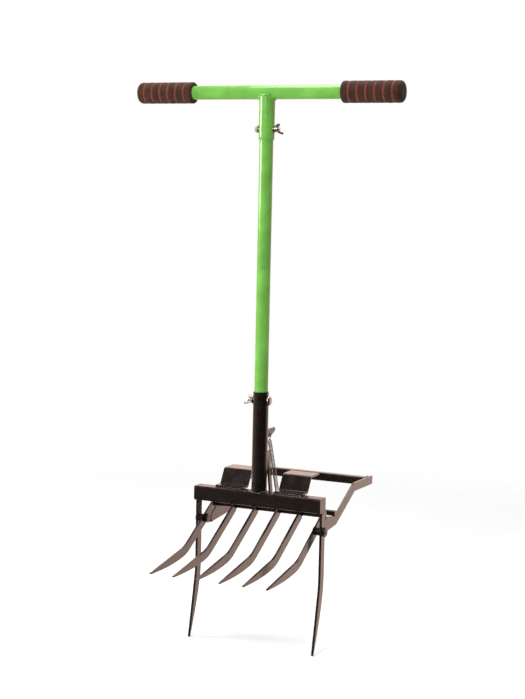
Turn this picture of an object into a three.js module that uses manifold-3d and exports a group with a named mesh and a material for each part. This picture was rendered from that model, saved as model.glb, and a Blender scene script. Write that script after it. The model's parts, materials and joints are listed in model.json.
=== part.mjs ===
import * as THREE from 'three';
import { mergeVertices } from 'three/addons/utils/BufferGeometryUtils.js';
import Module from 'manifold-3d';

// Two-handed soil fork with a spring-held comb frame. Units are millimetres, +Z is up.
// The shaft axis is X = 0, Y = 0, and Z = 0 is the underside of the front beam.
// The comb points towards -Y, and the rear bar lies towards +Y.

// Clearances
const weldGap = 0.3; // between two pieces that are welded or seated face to face
const slideGap = 0.3; // round a tube or a bolt that passes through another piece

// Overall
const handleHeight = 837; // handle bar axis above the underside of the beam
const handleWidth = 575; // over both grips
const beamLength = 284;
const shaftJointHeight = 488; // where the two shaft tubes meet

// Tubes
const shaftDiameter = 28;
const shaftWall = 2;
const socketWall = 1.7;
const handleSocketLength = 94; // from the bar axis down
const handleSocketCope = 6; // how far below the bar axis the coped socket ends
const lowerSocketLength = 206; // from the top of the beam up
const shaftInsertion = 60; // depth of the lower shaft tube in its socket
const sleeveLength = 120;
const sleeveWall = 2;

// Foam grips
const gripLength = 125;
const gripDiameter = 43;
const gripEndWall = 8;
const gripRound = 7;

// Clamp bolts with wing nuts
const clampDiameter = 8;
const clampHeadFlats = 13;
const clampHeadHeight = 5.3;
const clampWasher = { diameter: 17, thickness: 1.6 };
const wingNut = { height: 15, hubHeight: 8, hubRadius: 6.5, span: 30, thickness: 2.6 };
const boltEnd = 2.5; // thread left showing past a nut
const handleBoltDrop = 72; // below the bar axis
const socketBoltDrop = 18; // below the top of the lower socket
const handleWingTurn = -0.75; // radians round the bolt
const socketWingTurn = -0.5;

// Beam and its end plates
const beamHeight = 30;
const beamDepth = 30;
const beamWall = 2.5;
const beamCorner = 4;
const endPlateThickness = 5.5;

// Flat bar used for every tine and for the side arms
const barWidth = 18;
const barThickness = 5;

// Long end tines
const longTineSetback = 5; // centre line behind the shaft axis
const longTineBend = 150; // depth of the bend
const longTineReach = 140; // length below the bend
const longTineRake = THREE.MathUtils.degToRad(11.7);
const longTineBelly = 62; // how far past the bend the rear edge stays full
const tipBlunt = 2;

// Treads on the beam
const tread = { width: 64, inset: 35, thickness: 4, flange: 24, setback: 18, rise: 30, depth: 42 };
const treadFlangeRear = 22;
const treadBendRadius = 5;

// Comb frame pivot
const pivotSetback = 5;
const pivotDepth = 40;
const pivotDiameter = 10;
const pivotFlats = 17;
const pivotHead = { diameter: 17, height: 2.4 };
const pivotNutHeight = 6;
const pivotBoltEnd = 1;
const pivotSpacerDiameter = 16;

// Comb tines, measured from the pivot
const tineCount = 6;
const tinePitch = 50;
const tineSlope = THREE.MathUtils.degToRad(30);
const tineRun = 99; // pivot to the bend, along the upper edge
const tineTipSlope = THREE.MathUtils.degToRad(9.5);
const tineTipRun = 146;
const tineBendEase = 14;
const tineBelly = 75; // how far past the bend the lower edge stays full
const tineTail = 59; // end of an outer tine behind the pivot
const combRodDistance = 50; // rod that joins the tines, behind the pivot
const rodDiameter = 12;

// Side arms and rear bar, measured from the pivot
const armRaise = 2;
const armStart = 25;
const armLowRun = 104;
const armClimb = THREE.MathUtils.degToRad(27.2);
const armClimbRun = 116;
const armTopRun = 109;
const armTopFall = THREE.MathUtils.degToRad(1);
const armBendRadius = 20;
const armFlare = THREE.MathUtils.degToRad(10); // how the arm widens towards the pivot, above
const armDrop = THREE.MathUtils.degToRad(5); // and below
const rearBarSection = 18;
const rearBarWall = 2;
const rearBarCorner = 3;
const rearBarInset = 21; // rear bar centre, from the ends of the arms

// Stop arm that meets the lower socket
const stopArm = { length: 129, width: 12, thickness: 4, offset: 8 };

// Spring and the lug that holds its top
const lug = { thickness: 4, top: 154, reach: 54, tipHeight: 7, holeDiameter: 6, edge: 5.5, foot: 128 };
const springTop = new THREE.Vector3(0, 42, 142); // centre of the lug's hole
const springDiameter = 9;
const springWire = 1.5;
const springPitch = 3;
const springLoopRadius = 4.2;
const springHookGap = 0.4;
const springLead = 12; // from each end's centre to the first coil

// Sizes that follow from the ones above
const shaftRadius = shaftDiameter / 2;
const socketBore = shaftRadius + slideGap;
const socketRadius = socketBore + socketWall;
const beamEnd = beamLength / 2;
const lowerSocketTop = beamHeight + lowerSocketLength;
const longTineInnerFace = beamEnd - barThickness;
const combEdge = ((tineCount - 1) / 2) * tinePitch + barThickness / 2;
const rodRadius = rodDiameter / 2;
const pivot = new THREE.Vector3(0, pivotSetback, -pivotDepth);
const roundSegments = 28;
const boltSegments = 20;
const bendSteps = 4; // straight facets in a bend of flat bar

// Materials
function material(color, roughness, metalness) {
  return new THREE.MeshStandardMaterial({ color, roughness, metalness });
}
const greenPaint = material('#57b530', 0.3, 0);
const blackPaint = material('#1b1716', 0.35, 0);
const zinc = material('#b9b7ae', 0.35, 1);
const foam = material('#241917', 0.95, 0);
const springSteel = material('#a7a69e', 0.3, 1);

// Manifold solids for cuts and joins
const wasm = await Module();
wasm.setup();

function toSolid(geometry) {
  const bare = geometry.clone();
  bare.deleteAttribute('normal');
  bare.deleteAttribute('uv');
  const merged = mergeVertices(bare.index ? bare.toNonIndexed() : bare, 1e-4);
  const index = merged.index.array;
  const triVerts = [];
  for (let i = 0; i < index.length; i += 3) {
    const [a, b, c] = index.slice(i, i + 3);
    if (a !== b && b !== c && c !== a) triVerts.push(a, b, c);
  }
  const vertProperties = new Float32Array(merged.attributes.position.array);
  const mesh = new wasm.Mesh({ numProp: 3, vertProperties, triVerts: new Uint32Array(triVerts) });
  return new wasm.Manifold(mesh);
}

function toGeometry(solid) {
  const { vertProperties, triVerts } = solid.getMesh();
  const geometry = new THREE.BufferGeometry();
  geometry.setAttribute('position', new THREE.BufferAttribute(new Float32Array(vertProperties), 3));
  geometry.setIndex(Array.from(triVerts));
  geometry.computeVertexNormals();
  return geometry;
}

function cut(geometry, ...tools) {
  const solid = tools.reduce((rest, tool) => rest.subtract(toSolid(tool)), toSolid(geometry));
  return toGeometry(solid);
}

function join(...geometries) {
  return toGeometry(geometries.map(toSolid).reduce((sum, solid) => sum.add(solid)));
}

// Solids of revolution. A profile is a list of [radius, distance] that starts and ends on the
// axis or closes on itself, and goes up the outer side.
function turned(profile, segments = roundSegments) {
  return new THREE.LatheGeometry(profile.map(([r, h]) => new THREE.Vector2(r, h)), segments);
}

function ringProfile(inner, outer, from, to) {
  return [[inner, from], [outer, from], [outer, to], [inner, to], [inner, from]];
}

function rodProfile(radius, from, to) {
  return [[0, from], [radius, from], [radius, to], [0, to]];
}

function alongX(geometry) {
  return geometry.rotateZ(-Math.PI / 2);
}

function alongZ(geometry) {
  return geometry.rotateX(Math.PI / 2);
}

function tubeZ(inner, outer, from, to) {
  return alongZ(turned(ringProfile(inner, outer, from, to)));
}

function rodX(radius, from, to, segments) {
  return alongX(turned(rodProfile(radius, from, to), segments));
}

function ringX(inner, outer, from, to) {
  return alongX(turned(ringProfile(inner, outer, from, to)));
}

function hexX(flats, from, to) {
  return rodX(flats / Math.sqrt(3), from, to, 6);
}

// Flat profiles drawn in (Y, Z) and given a thickness along X
const sideView = new THREE.Matrix4().makeBasis(
  new THREE.Vector3(0, 1, 0),
  new THREE.Vector3(0, 0, 1),
  new THREE.Vector3(1, 0, 0),
);

function plate(shape, xCentre, thickness) {
  const options = { depth: thickness, bevelEnabled: false, curveSegments: 6 };
  const geometry = new THREE.ExtrudeGeometry(shape, options);
  return geometry.applyMatrix4(sideView).translate(xCentre - thickness / 2, 0, 0);
}

function boxOutline(width, height, corner, path = new THREE.Shape()) {
  const x = width / 2;
  const y = height / 2;
  path.moveTo(-x + corner, -y);
  path.lineTo(x - corner, -y);
  path.absarc(x - corner, -y + corner, corner, -Math.PI / 2, 0);
  path.absarc(x - corner, y - corner, corner, 0, Math.PI / 2);
  path.absarc(-x + corner, y - corner, corner, Math.PI / 2, Math.PI);
  path.absarc(-x + corner, -y + corner, corner, Math.PI, 1.5 * Math.PI);
  return path;
}

function boxTube(width, height, corner, wall, length) {
  const shape = boxOutline(width, height, corner);
  const inside = Math.max(corner - wall, 0.5);
  shape.holes.push(boxOutline(width - 2 * wall, height - 2 * wall, inside, new THREE.Path()));
  return plate(shape, 0, length);
}

// A strip of constant width along a bent centre line
function strip(points, width, bendRadius) {
  const upper = [];
  const lower = [];
  const directions = points.slice(1).map((point, i) => point.clone().sub(points[i]).normalize());
  const put = (point, direction) => {
    const side = new THREE.Vector2(-direction.y, direction.x).multiplyScalar(width / 2);
    upper.push(point.clone().add(side));
    lower.unshift(point.clone().sub(side));
  };
  put(points[0], directions[0]);
  for (let i = 1; i < directions.length; i++) {
    const before = directions[i - 1];
    const turn = Math.atan2(before.cross(directions[i]), before.dot(directions[i]));
    const tangent = bendRadius * Math.tan(Math.abs(turn) / 2);
    const start = points[i].clone().addScaledVector(before, -tangent);
    const inward = new THREE.Vector2(-before.y, before.x);
    const centre = start.clone().addScaledVector(inward, Math.sign(turn) * bendRadius);
    for (let k = 0; k <= bendSteps; k++) {
      const angle = (turn * k) / bendSteps;
      const point = start.clone().rotateAround(centre, angle);
      put(point, before.clone().rotateAround(new THREE.Vector2(), angle));
    }
  }
  put(points.at(-1), directions.at(-1));
  return new THREE.Shape([...upper, ...lower]);
}

function heading(angle) {
  return new THREE.Vector2(Math.cos(angle), Math.sin(angle));
}

function walk(start, ...legs) {
  const points = [start];
  for (const [angle, length] of legs) {
    points.push(points.at(-1).clone().addScaledVector(heading(angle), length));
  }
  return points;
}

// Handle
function clampHole(z) {
  return rodX(clampDiameter / 2 + slideGap, -2 * socketRadius, 2 * socketRadius).translate(0, 0, z);
}

function handleBar() {
  const half = handleWidth / 2 - gripEndWall - weldGap;
  return ringX(shaftRadius - shaftWall, shaftRadius, -half, half).translate(0, 0, handleHeight);
}

function handleSocket() {
  const bottom = handleHeight - handleSocketLength;
  const tube = tubeZ(socketBore, socketRadius, bottom, handleHeight - handleSocketCope);
  const cope = rodX(shaftRadius + weldGap, -2 * socketRadius, 2 * socketRadius);
  cope.translate(0, 0, handleHeight);
  return cut(tube, cope, clampHole(handleHeight - handleBoltDrop));
}

function gripRight() {
  const radius = gripDiameter / 2;
  const bore = shaftRadius + slideGap;
  const profile = [[0, gripLength - gripEndWall], [bore, gripLength - gripEndWall], [bore, 0]];
  const roundEnd = (centreHeight, from) => {
    for (let k = 0; k <= 3; k++) {
      const angle = from + (k * Math.PI) / 6;
      const r = radius - gripRound + gripRound * Math.cos(angle);
      profile.push([r, centreHeight + gripRound * Math.sin(angle)]);
    }
  };
  roundEnd(gripRound, -Math.PI / 2);
  roundEnd(gripLength - gripRound, 0);
  profile.push([0, gripLength]);
  return alongX(turned(profile)).translate(handleWidth / 2 - gripLength, 0, handleHeight);
}

function gripLeft() {
  return gripRight().rotateZ(Math.PI);
}

// Shaft
function upperShaft() {
  const top = handleHeight - shaftRadius - 2 * slideGap;
  const tube = tubeZ(shaftRadius - shaftWall, shaftRadius, shaftJointHeight + weldGap / 2, top);
  return cut(tube, clampHole(handleHeight - handleBoltDrop));
}

function lowerShaft() {
  const bottom = lowerSocketTop - shaftInsertion;
  const tube = tubeZ(shaftRadius - shaftWall, shaftRadius, bottom, shaftJointHeight - weldGap / 2);
  return cut(tube, clampHole(lowerSocketTop - socketBoltDrop));
}

function shaftSleeve() {
  const outer = shaftRadius - shaftWall - slideGap;
  const bottom = shaftJointHeight - sleeveLength / 2;
  return tubeZ(outer - sleeveWall, outer, bottom, bottom + sleeveLength);
}

function lowerSocket() {
  const tube = tubeZ(socketBore, socketRadius, beamHeight + weldGap, lowerSocketTop);
  return cut(tube, clampHole(lowerSocketTop - socketBoltDrop));
}

// Clamp fasteners, drawn with the head towards -X and the bolt axis at Z = 0
const clampSeat = socketRadius + weldGap;
const clampNutSeat = clampSeat + clampWasher.thickness + weldGap;
const clampTip = clampNutSeat + wingNut.hubHeight + boltEnd;

function clampShank() {
  return rodX(clampDiameter / 2, -clampSeat - clampWasher.thickness - weldGap - 1, clampTip, 16);
}

function hexClampBolt() {
  const seat = -clampSeat - clampWasher.thickness - weldGap;
  return join(hexX(clampHeadFlats, seat - clampHeadHeight, seat), clampShank());
}

function roundClampBolt() {
  const seat = -clampSeat - clampWasher.thickness - weldGap;
  const radius = 1.25 * clampDiameter;
  const profile = [[0, seat - clampHeadHeight]];
  for (let k = 1; k <= 4; k++) {
    const angle = (k * Math.PI) / 8;
    profile.push([radius * Math.sin(angle), seat - clampHeadHeight * Math.cos(angle)]);
  }
  profile.push([0, seat]);
  return join(alongX(turned(profile, boltSegments)), clampShank());
}

function clampWasherRing(seat) {
  const bore = clampDiameter / 2 + slideGap;
  return ringX(bore, clampWasher.diameter / 2, seat, seat + clampWasher.thickness);
}

function wingNutSolid() {
  const { height, hubHeight, hubRadius, span, thickness } = wingNut;
  const tip = span / 2;
  const wings = new THREE.Shape();
  wings.moveTo(-hubRadius, 1);
  wings.lineTo(hubRadius, 1);
  wings.lineTo(tip - 1.5, height * 0.5);
  wings.quadraticCurveTo(tip + 1, height, tip - 3, height);
  wings.quadraticCurveTo(tip - 6, height * 0.95, hubRadius - 1, hubHeight);
  wings.lineTo(1 - hubRadius, hubHeight);
  wings.quadraticCurveTo(6 - tip, height * 0.95, 3 - tip, height);
  wings.quadraticCurveTo(-tip - 1, height, 1.5 - tip, height * 0.5);
  const options = { depth: thickness, bevelEnabled: false, curveSegments: 4 };
  const blade = new THREE.ExtrudeGeometry(wings, options);
  blade.translate(0, 0, -thickness / 2);
  const hub = turned([[0, 0], [hubRadius, 0], [hubRadius - 1, hubHeight], [0, hubHeight]], boltSegments);
  const bore = turned(rodProfile(clampDiameter / 2 + slideGap, -1, height), boltSegments);
  return alongX(cut(join(hub, blade), bore));
}

// Beam
function frontBeam() {
  const length = beamLength - 2 * (endPlateThickness + weldGap);
  return boxTube(beamDepth, beamHeight, beamCorner, beamWall, length).translate(0, 0, beamHeight / 2);
}

function beamEndPlate(side) {
  const outline = boxOutline(beamDepth, beamHeight, beamCorner);
  const centre = side * (beamEnd - endPlateThickness / 2);
  return plate(outline, centre, endPlateThickness).translate(0, 0, beamHeight / 2);
}

function longTineOutline() {
  const front = longTineSetback - barWidth / 2;
  const rear = longTineSetback + barWidth / 2;
  const tip = new THREE.Vector2(front, -longTineBend);
  tip.addScaledVector(heading(-Math.PI / 2 - longTineRake), longTineReach);
  const ease = barWidth;
  const shape = new THREE.Shape();
  shape.moveTo(front, -weldGap);
  shape.lineTo(front, -longTineBend + ease);
  const past = new THREE.Vector2(front, -longTineBend);
  past.addScaledVector(heading(-Math.PI / 2 - longTineRake), ease);
  shape.quadraticCurveTo(front, -longTineBend, past.x, past.y);
  shape.lineTo(tip.x, tip.y);
  shape.lineTo(tip.x + tipBlunt, tip.y);
  const full = new THREE.Vector2(front, -longTineBend).addScaledVector(heading(-longTineRake), barWidth);
  const along = heading(-Math.PI / 2 - longTineRake);
  const belly = full.clone().addScaledVector(along, longTineBelly);
  const pastCorner = full.clone().addScaledVector(along, ease);
  const corner = -longTineBend - barWidth * Math.tan(longTineRake / 2);
  shape.quadraticCurveTo(belly.x, belly.y, pastCorner.x, pastCorner.y);
  shape.quadraticCurveTo(rear, corner, rear, -longTineBend + ease);
  shape.lineTo(rear, -weldGap);
  return shape;
}

function pivotHole(radius, from, to) {
  return rodX(radius, from, to).translate(0, pivot.y, pivot.z);
}

function longTine(side) {
  const bar = plate(longTineOutline(), side * (beamEnd - barThickness / 2), barThickness);
  return cut(bar, pivotHole(pivotDiameter / 2 + slideGap, -beamLength, beamLength));
}

function treadPlate(side) {
  const half = tread.thickness / 2;
  const base = beamHeight + weldGap + half;
  const points = [
    new THREE.Vector2(treadFlangeRear - tread.flange, base),
    new THREE.Vector2(treadFlangeRear, base),
    new THREE.Vector2(treadFlangeRear + tread.setback, base + tread.rise),
    new THREE.Vector2(treadFlangeRear + tread.setback + tread.depth, base + tread.rise),
  ];
  const centre = side * (tread.inset + tread.width / 2);
  return plate(strip(points, tread.thickness, treadBendRadius), centre, tread.width);
}

// Pivot fasteners. Both bolts have their head towards -X and their nut towards +X.
function pivotSeats(side) {
  const inner = combEdge - barThickness - weldGap;
  const outer = beamEnd + weldGap;
  return side > 0 ? { head: inner, nut: outer } : { head: -outer, nut: -inner };
}

function pivotBolt(side) {
  const { head, nut } = pivotSeats(side);
  const top = head - pivotHead.height;
  const radius = pivotHead.diameter / 2;
  const profile = [[0, top], [0.6 * radius, top], [radius, head - 0.4 * pivotHead.height], [radius, head], [0, head]];
  const shank = rodX(pivotDiameter / 2, head - 1, nut + pivotNutHeight + pivotBoltEnd, boltSegments);
  return join(alongX(turned(profile, boltSegments)), shank).translate(0, pivot.y, pivot.z);
}

function pivotNut(side) {
  const { nut } = pivotSeats(side);
  const bore = rodX(pivotDiameter / 2 + slideGap, -2 * beamEnd, 2 * beamEnd, boltSegments);
  const solid = cut(hexX(pivotFlats, nut, nut + pivotNutHeight), bore);
  return solid.translate(0, pivot.y, pivot.z);
}

function pivotSpacer(side) {
  const bore = pivotDiameter / 2 + slideGap;
  const ring = ringX(bore, pivotSpacerDiameter / 2, combEdge + weldGap, longTineInnerFace - weldGap);
  return (side < 0 ? ring.rotateZ(Math.PI) : ring).translate(0, pivot.y, pivot.z);
}

// Comb frame. Its pieces are drawn with the pivot axis at Y = 0, Z = 0.
const tineForward = heading(Math.PI + tineSlope);
const tineUp = heading(Math.PI / 2 + tineSlope);

function onTine(distance, offset) {
  return tineForward.clone().multiplyScalar(distance).addScaledVector(tineUp, offset);
}

function tineOutline(tail, width) {
  const half = width / 2;
  const bend = onTine(tineRun, half);
  const tipDirection = heading(Math.PI + tineTipSlope);
  const bendStart = onTine(tineRun - tineBendEase, half);
  const bendEnd = bend.clone().addScaledVector(tipDirection, tineBendEase);
  const tip = bend.clone().addScaledVector(tipDirection, tineTipRun);
  const full = bend.clone().addScaledVector(heading(Math.PI / 2 + tineTipSlope), -width);
  const belly = full.clone().addScaledVector(tipDirection, tineBelly);
  const pastCorner = full.clone().addScaledVector(tipDirection, tineBendEase);
  const corner = onTine(tineRun + width * Math.tan((tineSlope - tineTipSlope) / 2), -half);
  const cornerStart = onTine(tineRun - tineBendEase, -half);
  const rearLow = onTine(-tail, -half);
  const rearHigh = onTine(-tail, half);
  const shape = new THREE.Shape();
  shape.moveTo(rearHigh.x, rearHigh.y);
  shape.lineTo(bendStart.x, bendStart.y);
  shape.quadraticCurveTo(bend.x, bend.y, bendEnd.x, bendEnd.y);
  shape.lineTo(tip.x, tip.y);
  shape.lineTo(tip.x, tip.y - tipBlunt);
  shape.quadraticCurveTo(belly.x, belly.y, pastCorner.x, pastCorner.y);
  shape.quadraticCurveTo(corner.x, corner.y, cornerStart.x, cornerStart.y);
  shape.lineTo(rearLow.x, rearLow.y);
  return shape;
}

function roundTailedOutline() {
  const centre = onTine(-tineTail + barWidth / 2, 0);
  const shape = tineOutline(tineTail - barWidth / 2, barWidth);
  const low = tineSlope - Math.PI / 2;
  shape.absarc(centre.x, centre.y, barWidth / 2, low, low + Math.PI);
  return shape;
}

function outerTine(side) {
  const bar = plate(roundTailedOutline(), side * (combEdge - barThickness / 2), barThickness);
  return cut(bar, rodX(pivotDiameter / 2 + slideGap, -beamLength, beamLength));
}

function innerTine(x) {
  return plate(tineOutline(combRodDistance - rodRadius - weldGap, barWidth), x, barThickness);
}

function combRod() {
  const centre = onTine(-combRodDistance, 0);
  const half = combEdge - barThickness - weldGap;
  return rodX(rodRadius, -half, half, boltSegments).translate(0, centre.x, centre.y);
}

const armLine = walk(
  new THREE.Vector2(armStart, armRaise),
  [0, armLowRun - armStart],
  [armClimb, armClimbRun],
  [-armTopFall, armTopRun],
);

// The low part of an arm widens from its first bend towards the pivot
function armWeb() {
  const half = barWidth / 2;
  const length = armLowRun - armStart;
  const shape = new THREE.Shape();
  shape.moveTo(armLowRun, armRaise - half);
  shape.lineTo(armLowRun, armRaise + half);
  shape.lineTo(armStart, armRaise + half + length * Math.tan(armFlare));
  shape.lineTo(armStart, armRaise - half - length * Math.tan(armDrop));
  return shape;
}

function sideArm(side) {
  const x = side * (combEdge - barThickness / 2);
  const bar = plate(strip(armLine, barWidth, armBendRadius), x, barThickness);
  const arm = join(bar, plate(armWeb(), x, barThickness));
  const notch = plate(tineOutline(tineTail, barWidth + 2 * weldGap), x, 2 * barThickness);
  return cut(arm, notch);
}

function rearBar() {
  const length = 2 * (combEdge - barThickness - weldGap);
  const centre = armLine.at(-1).clone().addScaledVector(heading(-armTopFall), -rearBarInset);
  const tube = boxTube(rearBarSection, rearBarSection, rearBarCorner, rearBarWall, length);
  return tube.rotateX(-armTopFall).translate(0, centre.x, centre.y);
}

// The spring rod lies in the crook, touching the web's edge and the climbing part of the arm
function springRodCentre() {
  const clear = rodRadius + weldGap;
  const web = heading(Math.PI / 2 - armFlare);
  const climb = heading(Math.PI / 2 + armClimb);
  const webReach = web.dot(new THREE.Vector2(armLowRun, armRaise + barWidth / 2)) + clear;
  const climbReach = climb.dot(armLine[1]) + barWidth / 2 + clear;
  const det = web.cross(climb);
  return new THREE.Vector2(
    (webReach * climb.y - climbReach * web.y) / det,
    (climbReach * web.x - webReach * climb.x) / det,
  );
}

function springRod() {
  const centre = springRodCentre();
  return rodX(rodRadius, -combEdge, combEdge, boltSegments).translate(0, centre.x, centre.y);
}

// The stop arm leans forward until its top corner meets the back of the lower socket
function stopArmPlate() {
  const { length, width, thickness, offset } = stopArm;
  const foot = onTine(-combRodDistance, 0);
  const nearFace = offset - thickness / 2;
  const socketBack = Math.sqrt(socketRadius ** 2 - nearFace ** 2) + weldGap;
  const run = pivot.y + foot.x - socketBack;
  const lean = Math.asin(run / Math.hypot(length, width / 2)) - Math.atan2(width / 2, length);
  const up = heading(Math.PI / 2 + lean);
  const start = foot.clone().addScaledVector(up, rodRadius + weldGap);
  const end = foot.clone().addScaledVector(up, length);
  return plate(strip([start, end], width, 1), offset, thickness);
}

// Spring lug and spring
function springLug() {
  const { thickness, top, reach, tipHeight, holeDiameter, edge, foot } = lug;
  const back = socketRadius + weldGap;
  const shape = new THREE.Shape();
  shape.moveTo(back, top);
  shape.lineTo(back + reach, top);
  shape.lineTo(back + reach, top - tipHeight);
  shape.lineTo(springTop.y + edge, springTop.z - edge);
  shape.lineTo(springTop.y - edge, springTop.z - edge);
  shape.lineTo(back, foot);
  const hole = new THREE.Path();
  hole.absarc(springTop.y, springTop.z, holeDiameter / 2, 0, 2 * Math.PI);
  shape.holes.push(hole);
  return plate(shape, 0, thickness);
}

function springPath() {
  const rod = springRodCentre();
  const bottom = new THREE.Vector3(0, rod.x + pivot.y, rod.y + pivot.z);
  const down = bottom.clone().sub(springTop).normalize();
  const across = new THREE.Vector3(1, 0, 0);
  const back = down.clone().cross(across);
  const at = (origin, ...parts) => parts.reduce((p, [v, k]) => p.addScaledVector(v, k), origin.clone());
  const points = [];
  const loopCentre = at(springTop, [down, springLoopRadius]);
  for (let degrees = 320; degrees >= 50; degrees -= 30) {
    const angle = THREE.MathUtils.degToRad(degrees);
    const offset = [across, springLoopRadius * Math.sin(angle)];
    points.push(at(loopCentre, offset, [down, springLoopRadius * Math.cos(angle)]));
  }
  const hookRadius = rodRadius + springHookGap + springWire / 2;
  const bodyStart = springLead;
  const bodyEnd = springTop.distanceTo(bottom) - hookRadius - springLead;
  const turns = Math.round((bodyEnd - bodyStart) / springPitch);
  const coilRadius = (springDiameter - springWire) / 2;
  const steps = turns * 9;
  for (let k = 0; k <= steps; k++) {
    const angle = (2 * Math.PI * turns * k) / steps;
    const radius = coilRadius * Math.min(1, k / 5, (steps - k) / 5);
    const along = bodyStart + ((bodyEnd - bodyStart) * k) / steps;
    const offset = [across, radius * Math.sin(angle)];
    points.push(at(springTop, [down, along], offset, [back, radius * Math.cos(angle)]));
  }
  for (let degrees = 60; degrees <= 330; degrees += 30) {
    const angle = THREE.MathUtils.degToRad(degrees);
    points.push(at(bottom, [down, -hookRadius * Math.cos(angle)], [back, hookRadius * Math.sin(angle)]));
  }
  return { points, steps: steps + 44 };
}

function spring() {
  const { points, steps } = springPath();
  const curve = new THREE.CatmullRomCurve3(points, false, 'centripetal');
  curve.arcLengthDivisions = 12 * points.length;
  const corners = Array.from({ length: 5 }, (_, k) => heading((k * 2 * Math.PI) / 5));
  const section = new THREE.Shape(corners.map((corner) => corner.multiplyScalar(springWire / 2)));
  return new THREE.ExtrudeGeometry(section, { steps, extrudePath: curve, bevelEnabled: false });
}

// Assembly
function mesh(name, geometry, look) {
  const piece = new THREE.Mesh(geometry, look);
  piece.name = name;
  return piece;
}

function clampGroup(prefix, bolt, height, reversed, wingTurn) {
  const group = new THREE.Group();
  group.add(mesh(`${prefix}_bolt`, bolt, zinc));
  group.add(mesh(`${prefix}_washer_head`, clampWasherRing(-clampSeat - clampWasher.thickness), zinc));
  group.add(mesh(`${prefix}_washer_nut`, clampWasherRing(clampSeat), zinc));
  const nut = mesh(`${prefix}_wing_nut`, wingNutSolid(), zinc);
  nut.position.x = clampNutSeat;
  nut.rotation.x = wingTurn;
  group.add(nut);
  group.position.z = height;
  group.rotation.z = reversed ? Math.PI : 0;
  return group;
}

function handleGroup() {
  const group = new THREE.Group();
  group.add(mesh('handle_bar', handleBar(), greenPaint));
  group.add(mesh('handle_socket', handleSocket(), greenPaint));
  group.add(mesh('grip_left', gripLeft(), foam));
  group.add(mesh('grip_right', gripRight(), foam));
  const boltHeight = handleHeight - handleBoltDrop;
  group.add(clampGroup('handle', hexClampBolt(), boltHeight, false, handleWingTurn));
  return group;
}

function shaftGroup() {
  const group = new THREE.Group();
  group.add(mesh('upper_shaft', upperShaft(), greenPaint));
  group.add(mesh('lower_shaft', lowerShaft(), greenPaint));
  group.add(mesh('shaft_sleeve', shaftSleeve(), zinc));
  group.add(mesh('lower_socket', lowerSocket(), blackPaint));
  const boltHeight = lowerSocketTop - socketBoltDrop;
  group.add(clampGroup('socket', roundClampBolt(), boltHeight, true, socketWingTurn));
  group.add(mesh('spring_lug', springLug(), blackPaint));
  group.add(mesh('spring', spring(), springSteel));
  return group;
}

function beamGroup() {
  const group = new THREE.Group();
  group.add(mesh('front_beam', frontBeam(), blackPaint));
  for (const [name, side] of [['left', -1], ['right', 1]]) {
    group.add(mesh(`beam_end_plate_${name}`, beamEndPlate(side), blackPaint));
    group.add(mesh(`long_tine_${name}`, longTine(side), blackPaint));
    group.add(mesh(`tread_${name}`, treadPlate(side), blackPaint));
    group.add(mesh(`pivot_bolt_${name}`, pivotBolt(side), blackPaint));
    group.add(mesh(`pivot_spacer_${name}`, pivotSpacer(side), blackPaint));
    group.add(mesh(`pivot_nut_${name}`, pivotNut(side), blackPaint));
  }
  return group;
}

function combGroup() {
  const group = new THREE.Group();
  for (const [name, side] of [['left', -1], ['right', 1]]) {
    group.add(mesh(`outer_tine_${name}`, outerTine(side), blackPaint));
    group.add(mesh(`side_arm_${name}`, sideArm(side), blackPaint));
  }
  for (let i = 1; i < tineCount - 1; i++) {
    const x = (i - (tineCount - 1) / 2) * tinePitch;
    group.add(mesh(`inner_tine_${i}`, innerTine(x), blackPaint));
  }
  group.add(mesh('comb_rod', combRod(), blackPaint));
  group.add(mesh('spring_rod', springRod(), blackPaint));
  group.add(mesh('rear_bar', rearBar(), blackPaint));
  group.add(mesh('stop_arm', stopArmPlate(), blackPaint));
  group.position.copy(pivot);
  return group;
}

const fork = new THREE.Group();
fork.add(handleGroup());
fork.add(shaftGroup());
fork.add(beamGroup());
fork.add(combGroup());

export default fork;
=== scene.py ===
import json
from math import cos, pi, radians, sin, sqrt, tan

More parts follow.
